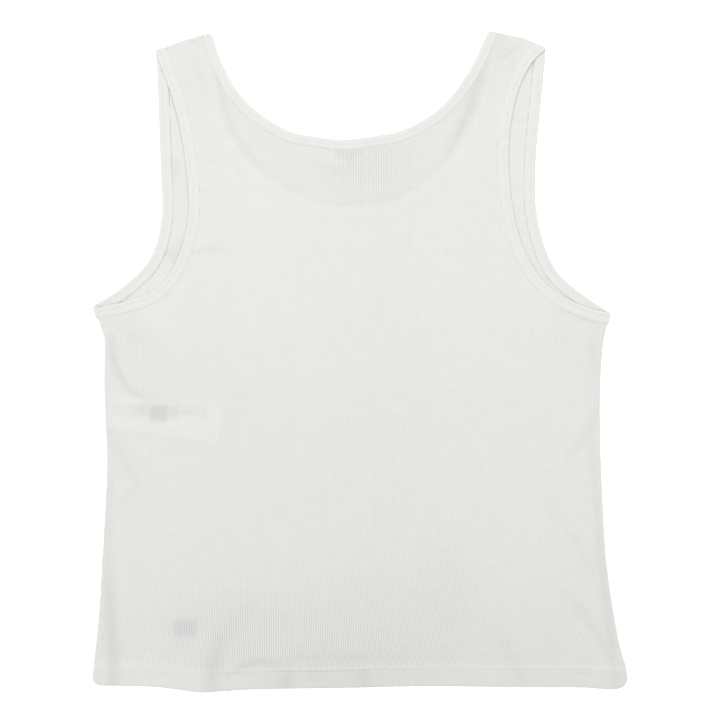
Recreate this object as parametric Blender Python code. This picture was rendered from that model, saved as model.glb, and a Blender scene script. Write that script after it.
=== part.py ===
"""A ribbed cotton tank top, laid flat on its front and seen from the back.

The front panel lies on the table with its outer face down. The back panel lies on it, and on
the table where the front neckline is cut lower. Three rings of rib tape bind the neck and the
armholes and fold over at the shoulders and underarms, as the cloth does. X runs across the
garment, Y from the hem to the shoulders and Z up from the table. The origin is the centre of
the garment's outline on the table. Sizes are in millimetres until a mesh is made.
"""

import bpy
import bmesh
import numpy as np
from mathutils import Vector
from mathutils.geometry import delaunay_2d_cdt

MM = 0.001

# The cloth
LAYER = 1.0  # one layer of rib knit
GAP = 0.3  # air between sewn or stacked pieces
TAPE = 1.8  # rib tape folded round a cut edge
NECK_TAPE_WIDTH = 9.2
ARM_TAPE_WIDTH = 10.0
HEM_DEPTH = 16.5
HEM_THICK = 1.8  # panel and turned-up hem, pressed together
HEM_STEP = 0.9  # over which the hem thins to one layer
LABEL = 1.0

# How the upper layer settles over the edges of the lower one
EDGE_MARGIN = 1.2  # it stays at full height this far past an edge
SLOPE_OUT = 9.0  # and then falls to the table over this length
SLOPE_IN = 6.0  # or to the front panel over this one

# The shoulder: the front panel goes over the fold and ends at the seam
SEAM_FROM_FOLD = 3.0
SEAM_SLOPE = 0.3
FOLD_ROUND = 0.8  # how far in from the fold the cloth reaches its full height
FOLD_EDGE_DROP = 0.6  # and how much lower it is at the fold itself

# Mesh sizes
EDGE_STEP = 9.0
GRID_STEP = 13.5
TURN_STEPS = 4  # sections in a tape's half turn at a fold
TURN_BLEND = 16.0  # length over which a tape swings round to a fold's direction
TURN_RADIUS = TAPE + GAP / 2  # outside of a tape's half turn at a fold
TURN_RUN = 4.0  # the tape runs straight this far in from a fold

# Corners of the outline, where the edges below meet: x, y
UNDERARM_LEFT = (-238.0, 50.4)
UNDERARM_RIGHT = (223.0, 44.0)
SHOULDER_LEFT = (-182.4, 277.8)
SHOULDER_RIGHT = (165.8, 280.4)
NECK_LEFT = (-131.6, 294.2)
NECK_RIGHT = (114.2, 295.4)
HEM_LEFT = (-238.0, -282.4)
HEM_RIGHT = (238.0, -283.0)

# Edges between those corners, one row a point, each drawn as a smooth curve: x, y
SIDE_LEFT = (
    UNDERARM_LEFT,
    (-235.6, 41.2),
    (-231.4, 35.6),
    (-228.2, 30.0),
    (-227.2, 20.0),
    (-227.4, 6.0),
    (-227.4, -30.0),
    (-226.0, -60.0),
    (-224.9, -84.0),
    (-227.2, -140.0),
    (-229.3, -174.0),
    (-232.4, -226.0),
    (-237.0, -269.0),
    HEM_LEFT,
)
SIDE_RIGHT = (
    UNDERARM_RIGHT,
    (222.2, 38.0),
    (218.4, 28.0),
    (214.8, 0.0),
    (213.5, -45.0),
    (215.4, -114.0),
    (220.0, -184.0),
    (231.6, -254.0),
    (236.6, -271.0),
    HEM_RIGHT,
)
HEM_EDGE = (
    HEM_LEFT,
    (-233.0, -286.4),
    (-210.0, -287.3),
    (-187.0, -288.0),
    (-162.0, -290.6),
    (-142.0, -293.3),
    (-122.0, -292.2),
    (-98.0, -290.7),
    (-8.0, -289.1),
    (50.0, -287.8),
    (130.0, -288.3),
    (196.0, -288.8),
    (232.0, -289.3),
    HEM_RIGHT,
)
BACK_NECK = (
    NECK_LEFT,
    (-124.2, 269.4),
    (-103.3, 234.0),
    (-64.8, 206.6),
    (-38.0, 200.7),
    (-15.0, 198.1),
    (18.2, 202.4),
    (36.0, 206.0),
    (71.6, 226.5),
    (98.0, 260.8),
    NECK_RIGHT,
)
FRONT_NECK = (
    NECK_LEFT,
    (-128.5, 254.5),
    (-117.5, 210.0),
    (-92.1, 173.6),
    (-44.1, 144.6),
    (-8.0, 138.8),
    (38.0, 148.0),
    (76.5, 177.5),
    (94.5, 215.0),
    (106.6, 254.5),
    NECK_RIGHT,
)
BACK_ARM_LEFT = (
    UNDERARM_LEFT,
    (-233.4, 48.4),
    (-224.0, 50.6),
    (-213.2, 52.8),
    (-182.5, 64.5),
    (-163.5, 90.0),
    (-152.6, 132.0),
    (-155.6, 180.0),
    (-165.2, 229.6),
    SHOULDER_LEFT,
)
BACK_ARM_RIGHT = (
    UNDERARM_RIGHT,
    (214.0, 45.4),
    (201.6, 48.8),
    (169.5, 66.0),
    (147.5, 97.0),
    (134.9, 144.2),
    (132.6, 197.6),
    (140.4, 240.3),
    (151.5, 264.5),
    SHOULDER_RIGHT,
)
FRONT_ARM_LEFT = (
    UNDERARM_LEFT,
    (-214.4, 64.6),
    (-187.5, 90.8),
    (-176.8, 125.0),
    (-177.6, 180.0),
    (-179.6, 238.0),
    (-180.6, 264.0),
    SHOULDER_LEFT,
)
FRONT_ARM_RIGHT = (
    UNDERARM_RIGHT,
    (217.2, 47.8),
    (204.6, 55.8),
    (174.4, 81.9),
    (158.2, 126.4),
    (156.2, 175.0),
    (160.6, 228.0),
    SHOULDER_RIGHT,
)
STRAP_TOP_LEFT = (SHOULDER_LEFT, (-156.0, 287.0), NECK_LEFT)
STRAP_TOP_RIGHT = (SHOULDER_RIGHT, (146.0, 288.5), NECK_RIGHT)

# Labels between the layers, by the middle of each: x, y, length, width, turn in degrees
NECK_LABEL = (-12.5, 182.2, 40.0, 11.6, 0.0)
CARE_LABEL = (-174.3, -46.0, 99.0, 28.0, -7.0)

# The largest folds of the upper layer, each a soft ridge: x0, y0, x1, y1, half width, height
CREASES = (
    (-221.0, 22.0, -206.0, -18.0, 8.0, 1.3),
    (-220.0, -66.0, -194.0, -104.0, 8.0, 1.2),
    (-104.0, -210.0, -130.0, -284.0, 9.0, 1.6),
    (-150.0, 97.0, -112.0, 105.0, 8.0, 1.2),
    (208.0, 14.0, 197.0, -8.0, 7.0, 1.2),
    (206.0, -50.0, 192.0, -80.0, 8.0, 1.2),
    (176.0, -138.0, 208.0, -200.0, 9.0, 1.4),
    (170.0, -196.0, 222.0, -264.0, 10.0, 1.8),
    (124.0, -238.0, 146.0, -286.0, 9.0, 1.5),
    (-142.0, 222.0, -126.0, 196.0, 7.0, 1.0),
)

# Cloth and label finishes: red, green, blue (linear), roughness
IVORY_RIB = (0.80, 0.79, 0.76, 0.92)
RIB_TAPE = (0.83, 0.82, 0.79, 0.90)
LABEL_WHITE = (0.86, 0.86, 0.85, 0.62)


# Plane geometry


def spaced(points, step):
    """The points of a line again, evenly spaced at about step, ends kept."""
    points = np.asarray(points, float)
    along = np.concatenate([[0.0], np.cumsum(np.linalg.norm(np.diff(points, axis=0), axis=1))])
    wanted = np.linspace(0.0, along[-1], max(2, int(round(along[-1] / step)) + 1))
    return np.column_stack([np.interp(wanted, along, points[:, k]) for k in (0, 1)])


def smooth_curve(rows, step):
    """A centripetal Catmull-Rom curve through the rows, evenly spaced."""
    rows = np.asarray(rows, float)
    rows = np.vstack([2 * rows[0] - rows[1], rows, 2 * rows[-1] - rows[-2]])
    drawn = []
    for a, b, c, d in zip(rows, rows[1:], rows[2:], rows[3:]):
        t1 = np.linalg.norm(b - a) ** 0.5
        t2 = t1 + np.linalg.norm(c - b) ** 0.5
        t3 = t2 + np.linalg.norm(d - c) ** 0.5
        t = np.linspace(t1, t2, 24, endpoint=False)[:, None]
        ab = (t1 - t) / t1 * a + t / t1 * b
        bc = (t2 - t) / (t2 - t1) * b + (t - t1) / (t2 - t1) * c
        cd = (t3 - t) / (t3 - t2) * c + (t - t2) / (t3 - t2) * d
        abc = (t2 - t) / t2 * ab + t / t2 * bc
        bcd = (t3 - t) / (t3 - t1) * bc + (t - t1) / (t3 - t1) * cd
        drawn.append((t2 - t) / (t2 - t1) * abc + (t - t1) / (t2 - t1) * bcd)
    return spaced(np.vstack([*drawn, rows[-2][None]]), step)


def unit(v):
    return v / np.linalg.norm(v, axis=-1, keepdims=True)


def loop_of(*lines):
    """Lines laid end to end as one closed loop, each shared corner once."""
    points = np.vstack(lines)
    ahead = np.roll(points, -1, axis=0)
    return points[np.linalg.norm(ahead - points, axis=1) > 0.01]


def distance_to(line, points):
    """Each point's distance to an open line."""
    a, b = line[:-1], line[1:]
    way = b - a
    share = ((points[:, None] - a) * way).sum(2) / (way * way).sum(1)
    nearest = a + np.clip(share, 0, 1)[:, :, None] * way
    return np.linalg.norm(points[:, None] - nearest, axis=2).min(1)


def inside(loop, points):
    """True for each point inside a closed loop, counting the edges to its right."""
    a, b = loop, np.roll(loop, -1, axis=0)
    x, y = points[:, 0][:, None], points[:, 1][:, None]
    crosses = (a[:, 1] > y) != (b[:, 1] > y)
    rise = np.where(crosses, b[:, 1] - a[:, 1], 1.0)
    at = a[:, 0] + (y - a[:, 1]) / rise * (b[:, 0] - a[:, 0])
    return (crosses & (x < at)).sum(1) % 2 == 1


def ramp(value, start, length):
    """0 before start, 1 past start + length, and smooth between."""
    t = np.clip((value - start) / length, 0, 1)
    return t * t * (3 - 2 * t)


# Edges of the garment


class Tape:
    """One edge of one layer: its line, and at each station the way in to the seam. hand is 1
    where the cloth lies to the left of the line, and -1 where it lies to the right."""

    def __init__(self, rows, width, hand, first_way, last_way):
        self.line, self.width = smooth_curve(rows, EDGE_STEP), width
        along = unit(np.gradient(self.line, axis=0))
        self.way = np.column_stack([-along[:, 1], along[:, 0]]) * hand
        run = np.arange(len(self.line)) * EDGE_STEP
        for away, end_way in ((run, first_way), (run[::-1], last_way)):
            share = (1 - ramp(away, 0.0, TURN_BLEND))[:, None]
            self.way = unit(self.way * (1 - share) + end_way * share)

    def inset(self, distance):
        return self.line + self.way * distance

    def panel_edge(self):
        """The panel's edge beside this tape, from fold to fold, straight over each half turn."""
        edge = self.inset(self.width + GAP)
        start = edge[0] - off_fold(self.line[0], self.way[0]) * TURN_RUN
        end = edge[-1] - off_fold(self.line[-1], self.way[-1]) * TURN_RUN
        return np.vstack([edge[:1], start, edge[1:-1], end, edge[-1:]])


def fold_way(corner, towards):
    """Unit vector along a fold from the garment's edge into the cloth."""
    return unit(np.subtract(towards, corner))


def off_fold(corner, way):
    """Unit vector square to a fold at a corner of the garment, away from the cloth."""
    outward = np.array([way[1], -way[0]])
    return outward * np.sign(outward @ corner)


def make_edges():
    """Each bound edge as a Tape, keyed by layer and place."""
    down_left = fold_way(UNDERARM_LEFT, SIDE_LEFT[1])
    down_right = fold_way(UNDERARM_RIGHT, SIDE_RIGHT[1])
    over_left = fold_way(SHOULDER_LEFT, STRAP_TOP_LEFT[1])
    over_right = fold_way(SHOULDER_RIGHT, STRAP_TOP_RIGHT[1])
    neck_left = fold_way(NECK_LEFT, STRAP_TOP_LEFT[1])
    neck_right = fold_way(NECK_RIGHT, STRAP_TOP_RIGHT[1])
    return {
        "back_neck": Tape(BACK_NECK, NECK_TAPE_WIDTH, -1, neck_left, neck_right),
        "front_neck": Tape(FRONT_NECK, NECK_TAPE_WIDTH, -1, neck_left, neck_right),
        "back_arm_left": Tape(BACK_ARM_LEFT, ARM_TAPE_WIDTH, -1, down_left, over_left),
        "front_arm_left": Tape(FRONT_ARM_LEFT, ARM_TAPE_WIDTH, -1, down_left, over_left),
        "back_arm_right": Tape(BACK_ARM_RIGHT, ARM_TAPE_WIDTH, 1, down_right, over_right),
        "front_arm_right": Tape(FRONT_ARM_RIGHT, ARM_TAPE_WIDTH, 1, down_right, over_right),
    }


EDGES = make_edges()
SIDES = {"left": smooth_curve(SIDE_LEFT, EDGE_STEP), "right": smooth_curve(SIDE_RIGHT, EDGE_STEP)}
HEM = smooth_curve(HEM_EDGE, EDGE_STEP)
STRAP_TOPS = {"left": np.array(STRAP_TOP_LEFT), "right": np.array(STRAP_TOP_RIGHT)}


def panel_outline(layer, top_inset):
    """A panel's cut edge, 0.3 mm inside its tapes, and top_inset inside the shoulder folds."""
    neck, left, right = (EDGES[f"{layer}_{place}"] for place in ("neck", "arm_left", "arm_right"))
    neck_line = shortened(neck.panel_edge(), top_inset, top_inset)
    left_line = shortened(left.panel_edge(), 0.0, top_inset)
    right_line = shortened(right.panel_edge(), 0.0, top_inset)
    return loop_of(
        HEM,
        side_below("right", right_line[0])[::-1],
        right_line,
        shoulder_line("right", top_inset)[1:2],
        neck_line[::-1],
        shoulder_line("left", top_inset)[1:2],
        left_line[::-1],
        side_below("left", left_line[0]),
    )


def shortened(line, first, last):
    """A line less this much of its first and last lengths."""
    along = np.concatenate([[0.0], np.cumsum(np.linalg.norm(np.diff(line, axis=0), axis=1))])
    kept = along[(along > first) & (along < along[-1] - last)]
    wanted = np.unique([first, *kept, along[-1] - last])
    return np.column_stack([np.interp(wanted, along, line[:, k]) for k in (0, 1)])


def side_below(side, start):
    """The points of a side edge from just under its tape down to the hem."""
    line = SIDES[side]
    return line[line[:, 1] < start[1] - EDGE_STEP / 2]


def shoulder_line(side, inset):
    """The fold at a strap's top, or the line this far inside it: its two ends and its bend."""
    top = STRAP_TOPS[side]
    first, second = unit(np.diff(top, axis=0))
    along = np.array([first, unit(first + second), second])
    over = np.column_stack([-along[:, 1], along[:, 0]])
    reach = np.array([[1.0], [1 / (along[1] @ first)], [1.0]])
    return top - over * np.sign(over[:, 1:]) * reach * inset


FRONT_BOUND_EDGES = [EDGES[f"front_{place}"].line for place in ("neck", "arm_left", "arm_right")]
FRONT_NECK_OPENING = loop_of(
    EDGES["front_neck"].line,
    [(NECK_RIGHT[0], 2 * NECK_RIGHT[1]), (NECK_LEFT[0], 2 * NECK_RIGHT[1])],
)


# Heights above the table


def above_hem(points):
    """Height of each point over the hem's lower edge, measured along Y."""
    order = np.argsort(HEM[:, 0])
    return points[:, 1] - np.interp(points[:, 0], HEM[order, 0], HEM[order, 1])


def from_fold(points):
    """How far each point lies inside the nearer shoulder fold."""
    return np.minimum(*(distance_to(STRAP_TOPS[side], points) for side in ("left", "right")))


def hem_share(points):
    """1 on the turned-up hem and 0 above it."""
    return 1 - ramp(above_hem(points), HEM_DEPTH, HEM_STEP)


def label_corners(label, margin):
    """The corners of a label, or of a rectangle this much larger all round."""
    x, y, length, width, turn = label
    c, s = np.cos(np.radians(turn)), np.sin(np.radians(turn))
    square = np.array([(-1, -1), (1, -1), (1, 1), (-1, 1)])
    return (square * (length / 2 + margin, width / 2 + margin)) @ np.array([[c, s], [-s, c]]) + (x, y)


def over_label(label, points, level, floor):
    """The height of a layer that lies over a label: level on it, floor away from it."""
    corners = label_corners(label, 0.0)
    away = distance_to(np.vstack([corners, corners[:1]]), points)
    away = np.where(inside(corners, points), 0.0, away)
    return floor + (level - floor) * (1 - ramp(away, EDGE_MARGIN, SLOPE_OUT))


def crease_height(points):
    """The upper layer's own folds, above what it lies on."""
    height = np.zeros(len(points))
    for x0, y0, x1, y1, half_width, tall in CREASES:
        start, way = np.array([x0, y0]), np.array([x1 - x0, y1 - y0])
        share = np.clip(((points - start) @ way) / (way @ way), 0, 1)
        across = np.linalg.norm(points - start - share[:, None] * way, axis=1)
        taper = 0.35 + 0.65 * np.sin(np.pi * share)
        height = np.maximum(height, tall * taper * (1 - ramp(across, 0, 2 * half_width)))
    return height


def upper_layer(points):
    """The lower face of whatever lies on the front panel, or on the table beside it."""
    points = np.atleast_2d(points)
    on_front = ~inside(FRONT_NECK_OPENING, points)
    to_edge = np.min([distance_to(line, points) for line in FRONT_BOUND_EDGES], axis=0)
    tape_in = TAPE - (TAPE - LAYER) * ramp(to_edge, ARM_TAPE_WIDTH + EDGE_MARGIN, SLOPE_IN)
    tape_out = TAPE * (1 - ramp(to_edge, EDGE_MARGIN, SLOPE_OUT))
    below = np.where(on_front, tape_in, tape_out)
    over_hem = 1 - ramp(above_hem(points), HEM_DEPTH + HEM_STEP + EDGE_MARGIN, SLOPE_IN)
    below = np.maximum(below, LAYER + (HEM_THICK - LAYER) * over_hem - LAYER * (~on_front))
    care = over_label(CARE_LABEL, points, LAYER + GAP + LABEL, LAYER)
    neck = over_label(NECK_LABEL, points, LABEL, 0.0)
    below = np.maximum(below, np.where(on_front, care, neck))
    return below + GAP * ramp(below, 0.0, LABEL / 2) + crease_height(points)


def front_top(points):
    """The front panel's upper, inner face, with its hem and its wrap over the shoulders."""
    wrapped = 2 * LAYER + GAP
    deep = from_fold(points)
    rim = FOLD_EDGE_DROP * (1 - np.clip(deep / FOLD_ROUND, 0, 1))
    on_wrap = 1 - np.clip((deep - SEAM_FROM_FOLD) / SEAM_SLOPE, 0, 1)
    return LAYER + (HEM_THICK - LAYER) * hem_share(points) + (wrapped - LAYER - rim) * on_wrap


def back_top(points):
    return upper_layer(points) + LAYER + (HEM_THICK - LAYER) * hem_share(points)


def table(points):
    return np.zeros(len(points))


# Meshes


def add_object(name, points, faces, finish):
    """An object of one closed mesh, from millimetres, with its own material."""
    mesh = bpy.data.meshes.new(name)
    mesh.from_pydata([Vector(p) * MM for p in points], [], faces)
    shaped = bmesh.new()
    shaped.from_mesh(mesh)
    bmesh.ops.recalc_face_normals(shaped, faces=shaped.faces)
    shaped.to_mesh(mesh)
    shaped.free()
    mesh.materials.append(cloth_material(name, finish))
    thing = bpy.data.objects.new(name, mesh)
    bpy.context.scene.collection.objects.link(thing)
    return thing


def cloth_material(name, finish):
    material = bpy.data.materials.new(name)
    material.use_nodes = True
    shader = material.node_tree.nodes["Principled BSDF"]
    shader.inputs["Base Color"].default_value = (*finish[:3], 1.0)
    shader.inputs["Roughness"].default_value = finish[3]
    shader.inputs["Metallic"].default_value = 0.0
    return material


def grid_inside(outline, lines, step):
    """Points of an even grid inside an outline and well clear of its edge and of the lines."""
    low, high = outline.min(0), outline.max(0)
    xs, ys = np.arange(low[0], high[0], step), np.arange(low[1], high[1], step)
    points = np.array([(x + step / 2 * (row % 2), y) for row, y in enumerate(ys) for x in xs])
    points = points[inside(outline, points)]
    closed = np.vstack([outline, outline[:1]])
    clear = distance_to(closed, points) > 0.45 * step
    for line in lines:
        clear &= distance_to(line, points) > 0.35 * step
    return points[clear]


def wall(name, outline, lines, step, lower, upper, finish):
    """A wall of cloth over an outline, its faces at the heights lower and upper give. Points
    lie along the lines too, so that steps and folds keep their shape."""
    closed = np.vstack([outline, outline[:1]])
    kept = [line[inside(outline, line) & (distance_to(closed, line) > 1.5)] for line in lines]
    kept = [line for line in kept if len(line) > 1]
    grid = grid_inside(outline, kept, step) if step else np.empty((0, 2))
    flat = [Vector(p) for p in np.vstack([outline, *kept, grid])]
    rim = [(i, (i + 1) % len(outline)) for i in range(len(outline))]
    made = delaunay_2d_cdt(flat, rim, [], 0, 1e-4, False)
    plan, triangles = np.array([tuple(v) for v in made[0]]), np.array([tuple(f) for f in made[2]])
    triangles = triangles[inside(outline, plan[triangles].mean(1))].tolist()
    count = len(plan)
    points = np.vstack(
        [np.column_stack([plan, lower(plan)]), np.column_stack([plan, upper(plan)])]
    )
    faces = [tuple(i + count for i in f) for f in triangles] + [f[::-1] for f in triangles]
    sides = {(f[k], f[(k + 1) % 3]) for f in triangles for k in range(3)}
    faces += [(a, b, b + count, a + count) for a, b in sorted(sides) if (b, a) not in sides]
    return add_object(name, points, faces, finish)


def tape_levels(tape):
    """The lower face of a tape that lies over the front: level across, at its highest need."""
    between = (tape.line[:-1] + tape.line[1:]) / 2
    between_way = (tape.way[:-1] + tape.way[1:]) / 2
    across = np.linspace(0, 1, 5)
    need = np.max([upper_layer(tape.inset(tape.width * s)) for s in across], axis=0)
    half = np.max([upper_layer(between + between_way * tape.width * s) for s in across], axis=0)
    need[:-1] = np.maximum(need[:-1], half)
    need[1:] = np.maximum(need[1:], half)
    return need


def turn_sections(corner, way, width):
    """A tape's half turn over a fold, from the upper strip down to the lower one. The corner
    is where the tape's finished edge crosses the fold, and way runs in along the fold."""
    outward = off_fold(corner, way)
    turns = [(TURN_RADIUS, angle) for angle in np.linspace(0, np.pi, TURN_STEPS + 1)]
    turns = [(TURN_RUN, 0.0), *turns, (TURN_RUN, np.pi)]
    sections = []
    for back_off, angle in turns:
        section = []
        for along, radius in ((0, TURN_RADIUS), (0, GAP / 2), (width, GAP / 2), (width, TURN_RADIUS)):
            spot = corner + way * along + outward * (radius * np.sin(angle) - back_off)
            section.append((*spot, TURN_RADIUS + radius * np.cos(angle)))
        sections.append(section)
    return sections


def tape_ring(name, upper, lower):
    """A ring of rib tape: a strip on the upper layer, a half turn, the strip on the lower
    layer coming back, and a second half turn."""
    levels = tape_levels(upper)
    sections = []
    for i in range(1, len(upper.line) - 1):
        out, within, z = upper.line[i], upper.inset(upper.width)[i], levels[i]
        sections.append([(*out, z + TAPE), (*out, z), (*within, z), (*within, z + TAPE)])
    sections += turn_sections(upper.line[-1], upper.way[-1], upper.width)
    for i in range(len(lower.line) - 2, 0, -1):
        out, within = lower.line[i], lower.inset(lower.width)[i]
        sections.append([(*out, 0.0), (*out, TAPE), (*within, TAPE), (*within, 0.0)])
    sections += turn_sections(upper.line[0], upper.way[0], upper.width)[::-1]
    count = len(sections)
    faces = []
    for i in range(count):
        a, b = 4 * i, 4 * ((i + 1) % count)
        faces += [(a + k, a + (k + 1) % 4, b + (k + 1) % 4, b + k) for k in range(4)]
    return add_object(name, np.vstack(sections), faces, RIB_TAPE)


def label_wall(name, label, level):
    """A flat label at this height, with its corners square."""
    low, high = (lambda p: table(p) + level), (lambda p: table(p) + level + LABEL)
    return wall(name, label_corners(label, 0.0), [], 0, low, high, LABEL_WHITE)


def hem_lines(*heights):
    """Lines that follow the hem's edge this far above it."""
    order = np.argsort(HEM[:, 0])
    return [HEM[order] + (0.0, height) for height in heights]


def shoulder_lines(*insets):
    """Lines that follow each shoulder fold this far inside it."""
    lines = [shoulder_line(side, inset) for inset in insets for side in STRAP_TOPS]
    return [np.vstack([spaced(a[:2], EDGE_STEP), spaced(a[1:], EDGE_STEP)[1:]]) for a in lines]


def label_lines():
    """A line round each label, where the upper layer comes down from it."""
    lines = []
    for label in (NECK_LABEL, CARE_LABEL):
        corners = label_corners(label, EDGE_MARGIN)
        lines.append(spaced(np.vstack([corners, corners[:1]]), EDGE_STEP)[:-1])
    return lines


def crease_lines():
    """The crest and the two feet of each fold of the upper layer."""
    lines = []
    for x0, y0, x1, y1, half_width, _ in CREASES:
        crest = spaced([(x0, y0), (x1, y1)], EDGE_STEP)
        away = unit(np.array([y0 - y1, x1 - x0])) * half_width * 2
        lines += [crest, crest + away, crest - away]
    return lines


def make_front_panel():
    """The lower layer, flat on the table, with its hem and its wrap over the shoulders."""
    lines = hem_lines(HEM_DEPTH, HEM_DEPTH + HEM_STEP)
    lines += shoulder_lines(FOLD_ROUND, SEAM_FROM_FOLD, SEAM_FROM_FOLD + SEAM_SLOPE)
    wall("front_panel", panel_outline("front", 0.0), lines, 0, table, front_top, IVORY_RIB)


def make_back_panel():
    """The upper layer, over the front's tapes and down to the table inside its neckline."""
    neck = EDGES["front_neck"]
    seam = SEAM_FROM_FOLD + SEAM_SLOPE + GAP
    lines = hem_lines(HEM_DEPTH, HEM_DEPTH + HEM_STEP, HEM_DEPTH + HEM_STEP + SLOPE_IN)
    lines += [neck.inset(d) for d in (-EDGE_MARGIN - SLOPE_OUT, -EDGE_MARGIN, neck.width)]
    lines += label_lines() + crease_lines()
    outline = panel_outline("back", seam)
    wall("back_panel", outline, lines, GRID_STEP, upper_layer, back_top, IVORY_RIB)


def main():
    for thing in list(bpy.data.objects):
        bpy.data.objects.remove(thing, do_unlink=True)
    make_front_panel()
    make_back_panel()
    tape_ring("neck_binding", EDGES["back_neck"], EDGES["front_neck"])
    for side in ("left", "right"):
        upper, lower = EDGES[f"back_arm_{side}"], EDGES[f"front_arm_{side}"]
        tape_ring(f"armhole_binding_{side}", upper, lower)
    label_wall("neck_label", NECK_LABEL, 0.0)
    label_wall("care_label", CARE_LABEL, LAYER + GAP)


main()
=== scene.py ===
"""Looks of the ribbed cotton tank top, laid flat and seen from its back.

Two layers of 1 x 1 rib knit, three rings of rib tape folded round the cut edges, hems sewn with
two rows of stitches and two woven labels between the layers. Every rib is real geometry, drawn
out towards the hem and under the arms as the cloth is. Sizes are in millimetres until a mesh
is made. X runs across the garment, Y from the hem to the shoulders and Z up from the table.
"""

import bpy
import numpy as np
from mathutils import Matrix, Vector
from mathutils.geometry import delaunay_2d_cdt


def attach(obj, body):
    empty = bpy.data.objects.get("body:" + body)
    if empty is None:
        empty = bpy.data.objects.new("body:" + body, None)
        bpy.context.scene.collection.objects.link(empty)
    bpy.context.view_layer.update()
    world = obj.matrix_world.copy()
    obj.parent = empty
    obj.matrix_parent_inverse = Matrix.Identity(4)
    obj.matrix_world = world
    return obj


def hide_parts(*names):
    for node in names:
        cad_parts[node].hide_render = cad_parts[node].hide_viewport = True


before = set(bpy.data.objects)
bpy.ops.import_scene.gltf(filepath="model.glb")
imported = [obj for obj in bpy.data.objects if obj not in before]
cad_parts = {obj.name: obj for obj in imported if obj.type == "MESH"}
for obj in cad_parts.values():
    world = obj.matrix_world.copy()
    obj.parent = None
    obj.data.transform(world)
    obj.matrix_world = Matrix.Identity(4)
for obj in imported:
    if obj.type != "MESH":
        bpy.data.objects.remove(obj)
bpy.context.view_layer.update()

MM = 0.001

# Sizes shared with the CAD model
LAYER = 1.0
GAP = 0.3
TAPE = 1.8
NECK_TAPE_WIDTH = 9.2
ARM_TAPE_WIDTH = 10.0
HEM_DEPTH = 16.5
HEM_THICK = 1.8
LABEL = 1.0
EDGE_MARGIN = 1.2
SLOPE_OUT = 9.0
SLOPE_IN = 6.0
TURN_RADIUS = TAPE + GAP / 2
TURN_RUN = 3.0
TURN_BLEND = 16.0

# Corners and edges of the garment, as in the CAD model: x, y
UNDERARM_LEFT = (-238.0, 50.4)
UNDERARM_RIGHT = (223.0, 44.0)
SHOULDER_LEFT = (-182.4, 277.8)
SHOULDER_RIGHT = (165.8, 280.4)
NECK_LEFT = (-131.6, 294.2)
NECK_RIGHT = (114.2, 295.4)
HEM_LEFT = (-238.0, -282.4)
HEM_RIGHT = (238.0, -283.0)
SIDE_LEFT = (
    UNDERARM_LEFT, (-235.6, 41.2), (-231.4, 35.6), (-228.2, 30.0), (-227.2, 20.0), (-227.4, 6.0),
    (-227.4, -30.0), (-226.0, -60.0), (-224.9, -84.0), (-227.2, -140.0), (-229.3, -174.0),
    (-232.4, -226.0), (-237.0, -269.0), HEM_LEFT,
)
SIDE_RIGHT = (
    UNDERARM_RIGHT, (222.2, 38.0), (218.4, 28.0), (214.8, 0.0), (213.5, -45.0), (215.4, -114.0),
    (220.0, -184.0), (231.6, -254.0), (236.6, -271.0), HEM_RIGHT,
)
HEM_EDGE = (
    HEM_LEFT, (-233.0, -286.4), (-210.0, -287.3), (-187.0, -288.0), (-162.0, -290.6),
    (-142.0, -293.3), (-122.0, -292.2), (-98.0, -290.7), (-8.0, -289.1), (50.0, -287.8),
    (130.0, -288.3), (196.0, -288.8), (232.0, -289.3), HEM_RIGHT,
)
BACK_NECK = (
    NECK_LEFT, (-124.2, 269.4), (-103.3, 234.0), (-64.8, 206.6), (-38.0, 200.7), (-15.0, 198.1),
    (18.2, 202.4), (36.0, 206.0), (71.6, 226.5), (98.0, 260.8), NECK_RIGHT,
)
FRONT_NECK = (
    NECK_LEFT, (-128.5, 254.5), (-117.5, 210.0), (-92.1, 173.6), (-44.1, 144.6), (-8.0, 138.8),
    (38.0, 148.0), (76.5, 177.5), (94.5, 215.0), (106.6, 254.5), NECK_RIGHT,
)
BACK_ARM_LEFT = (
    UNDERARM_LEFT, (-233.4, 48.4), (-224.0, 50.6), (-213.2, 52.8), (-182.5, 64.5), (-163.5, 90.0),
    (-152.6, 132.0), (-155.6, 180.0), (-165.2, 229.6), SHOULDER_LEFT,
)
BACK_ARM_RIGHT = (
    UNDERARM_RIGHT, (214.0, 45.4), (201.6, 48.8), (169.5, 66.0), (147.5, 97.0), (134.9, 144.2),
    (132.6, 197.6), (140.4, 240.3), (151.5, 264.5), SHOULDER_RIGHT,
)
FRONT_ARM_LEFT = (
    UNDERARM_LEFT, (-214.4, 64.6), (-187.5, 90.8), (-176.8, 125.0), (-177.6, 180.0),
    (-179.6, 238.0), (-180.6, 264.0), SHOULDER_LEFT,
)
FRONT_ARM_RIGHT = (
    UNDERARM_RIGHT, (217.2, 47.8), (204.6, 55.8), (174.4, 81.9), (158.2, 126.4), (156.2, 175.0),
    (160.6, 228.0), SHOULDER_RIGHT,
)
STRAP_TOP_LEFT = (SHOULDER_LEFT, (-156.0, 287.0), NECK_LEFT)
STRAP_TOP_RIGHT = (SHOULDER_RIGHT, (146.0, 288.5), NECK_RIGHT)

# The neck label, by its middle: x, y, length, width, turn in degrees
NECK_LABEL = (-12.5, 182.2, 40.0, 11.6, 0.0)
# The care label's two pages, fanned a little from the side seam they are sewn in
CARE_SEAM = (-223.2, -43.8)
CARE_PAGE = (100.0, 25.0)
CARE_TURNS = (-9.2, -2.6)
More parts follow.
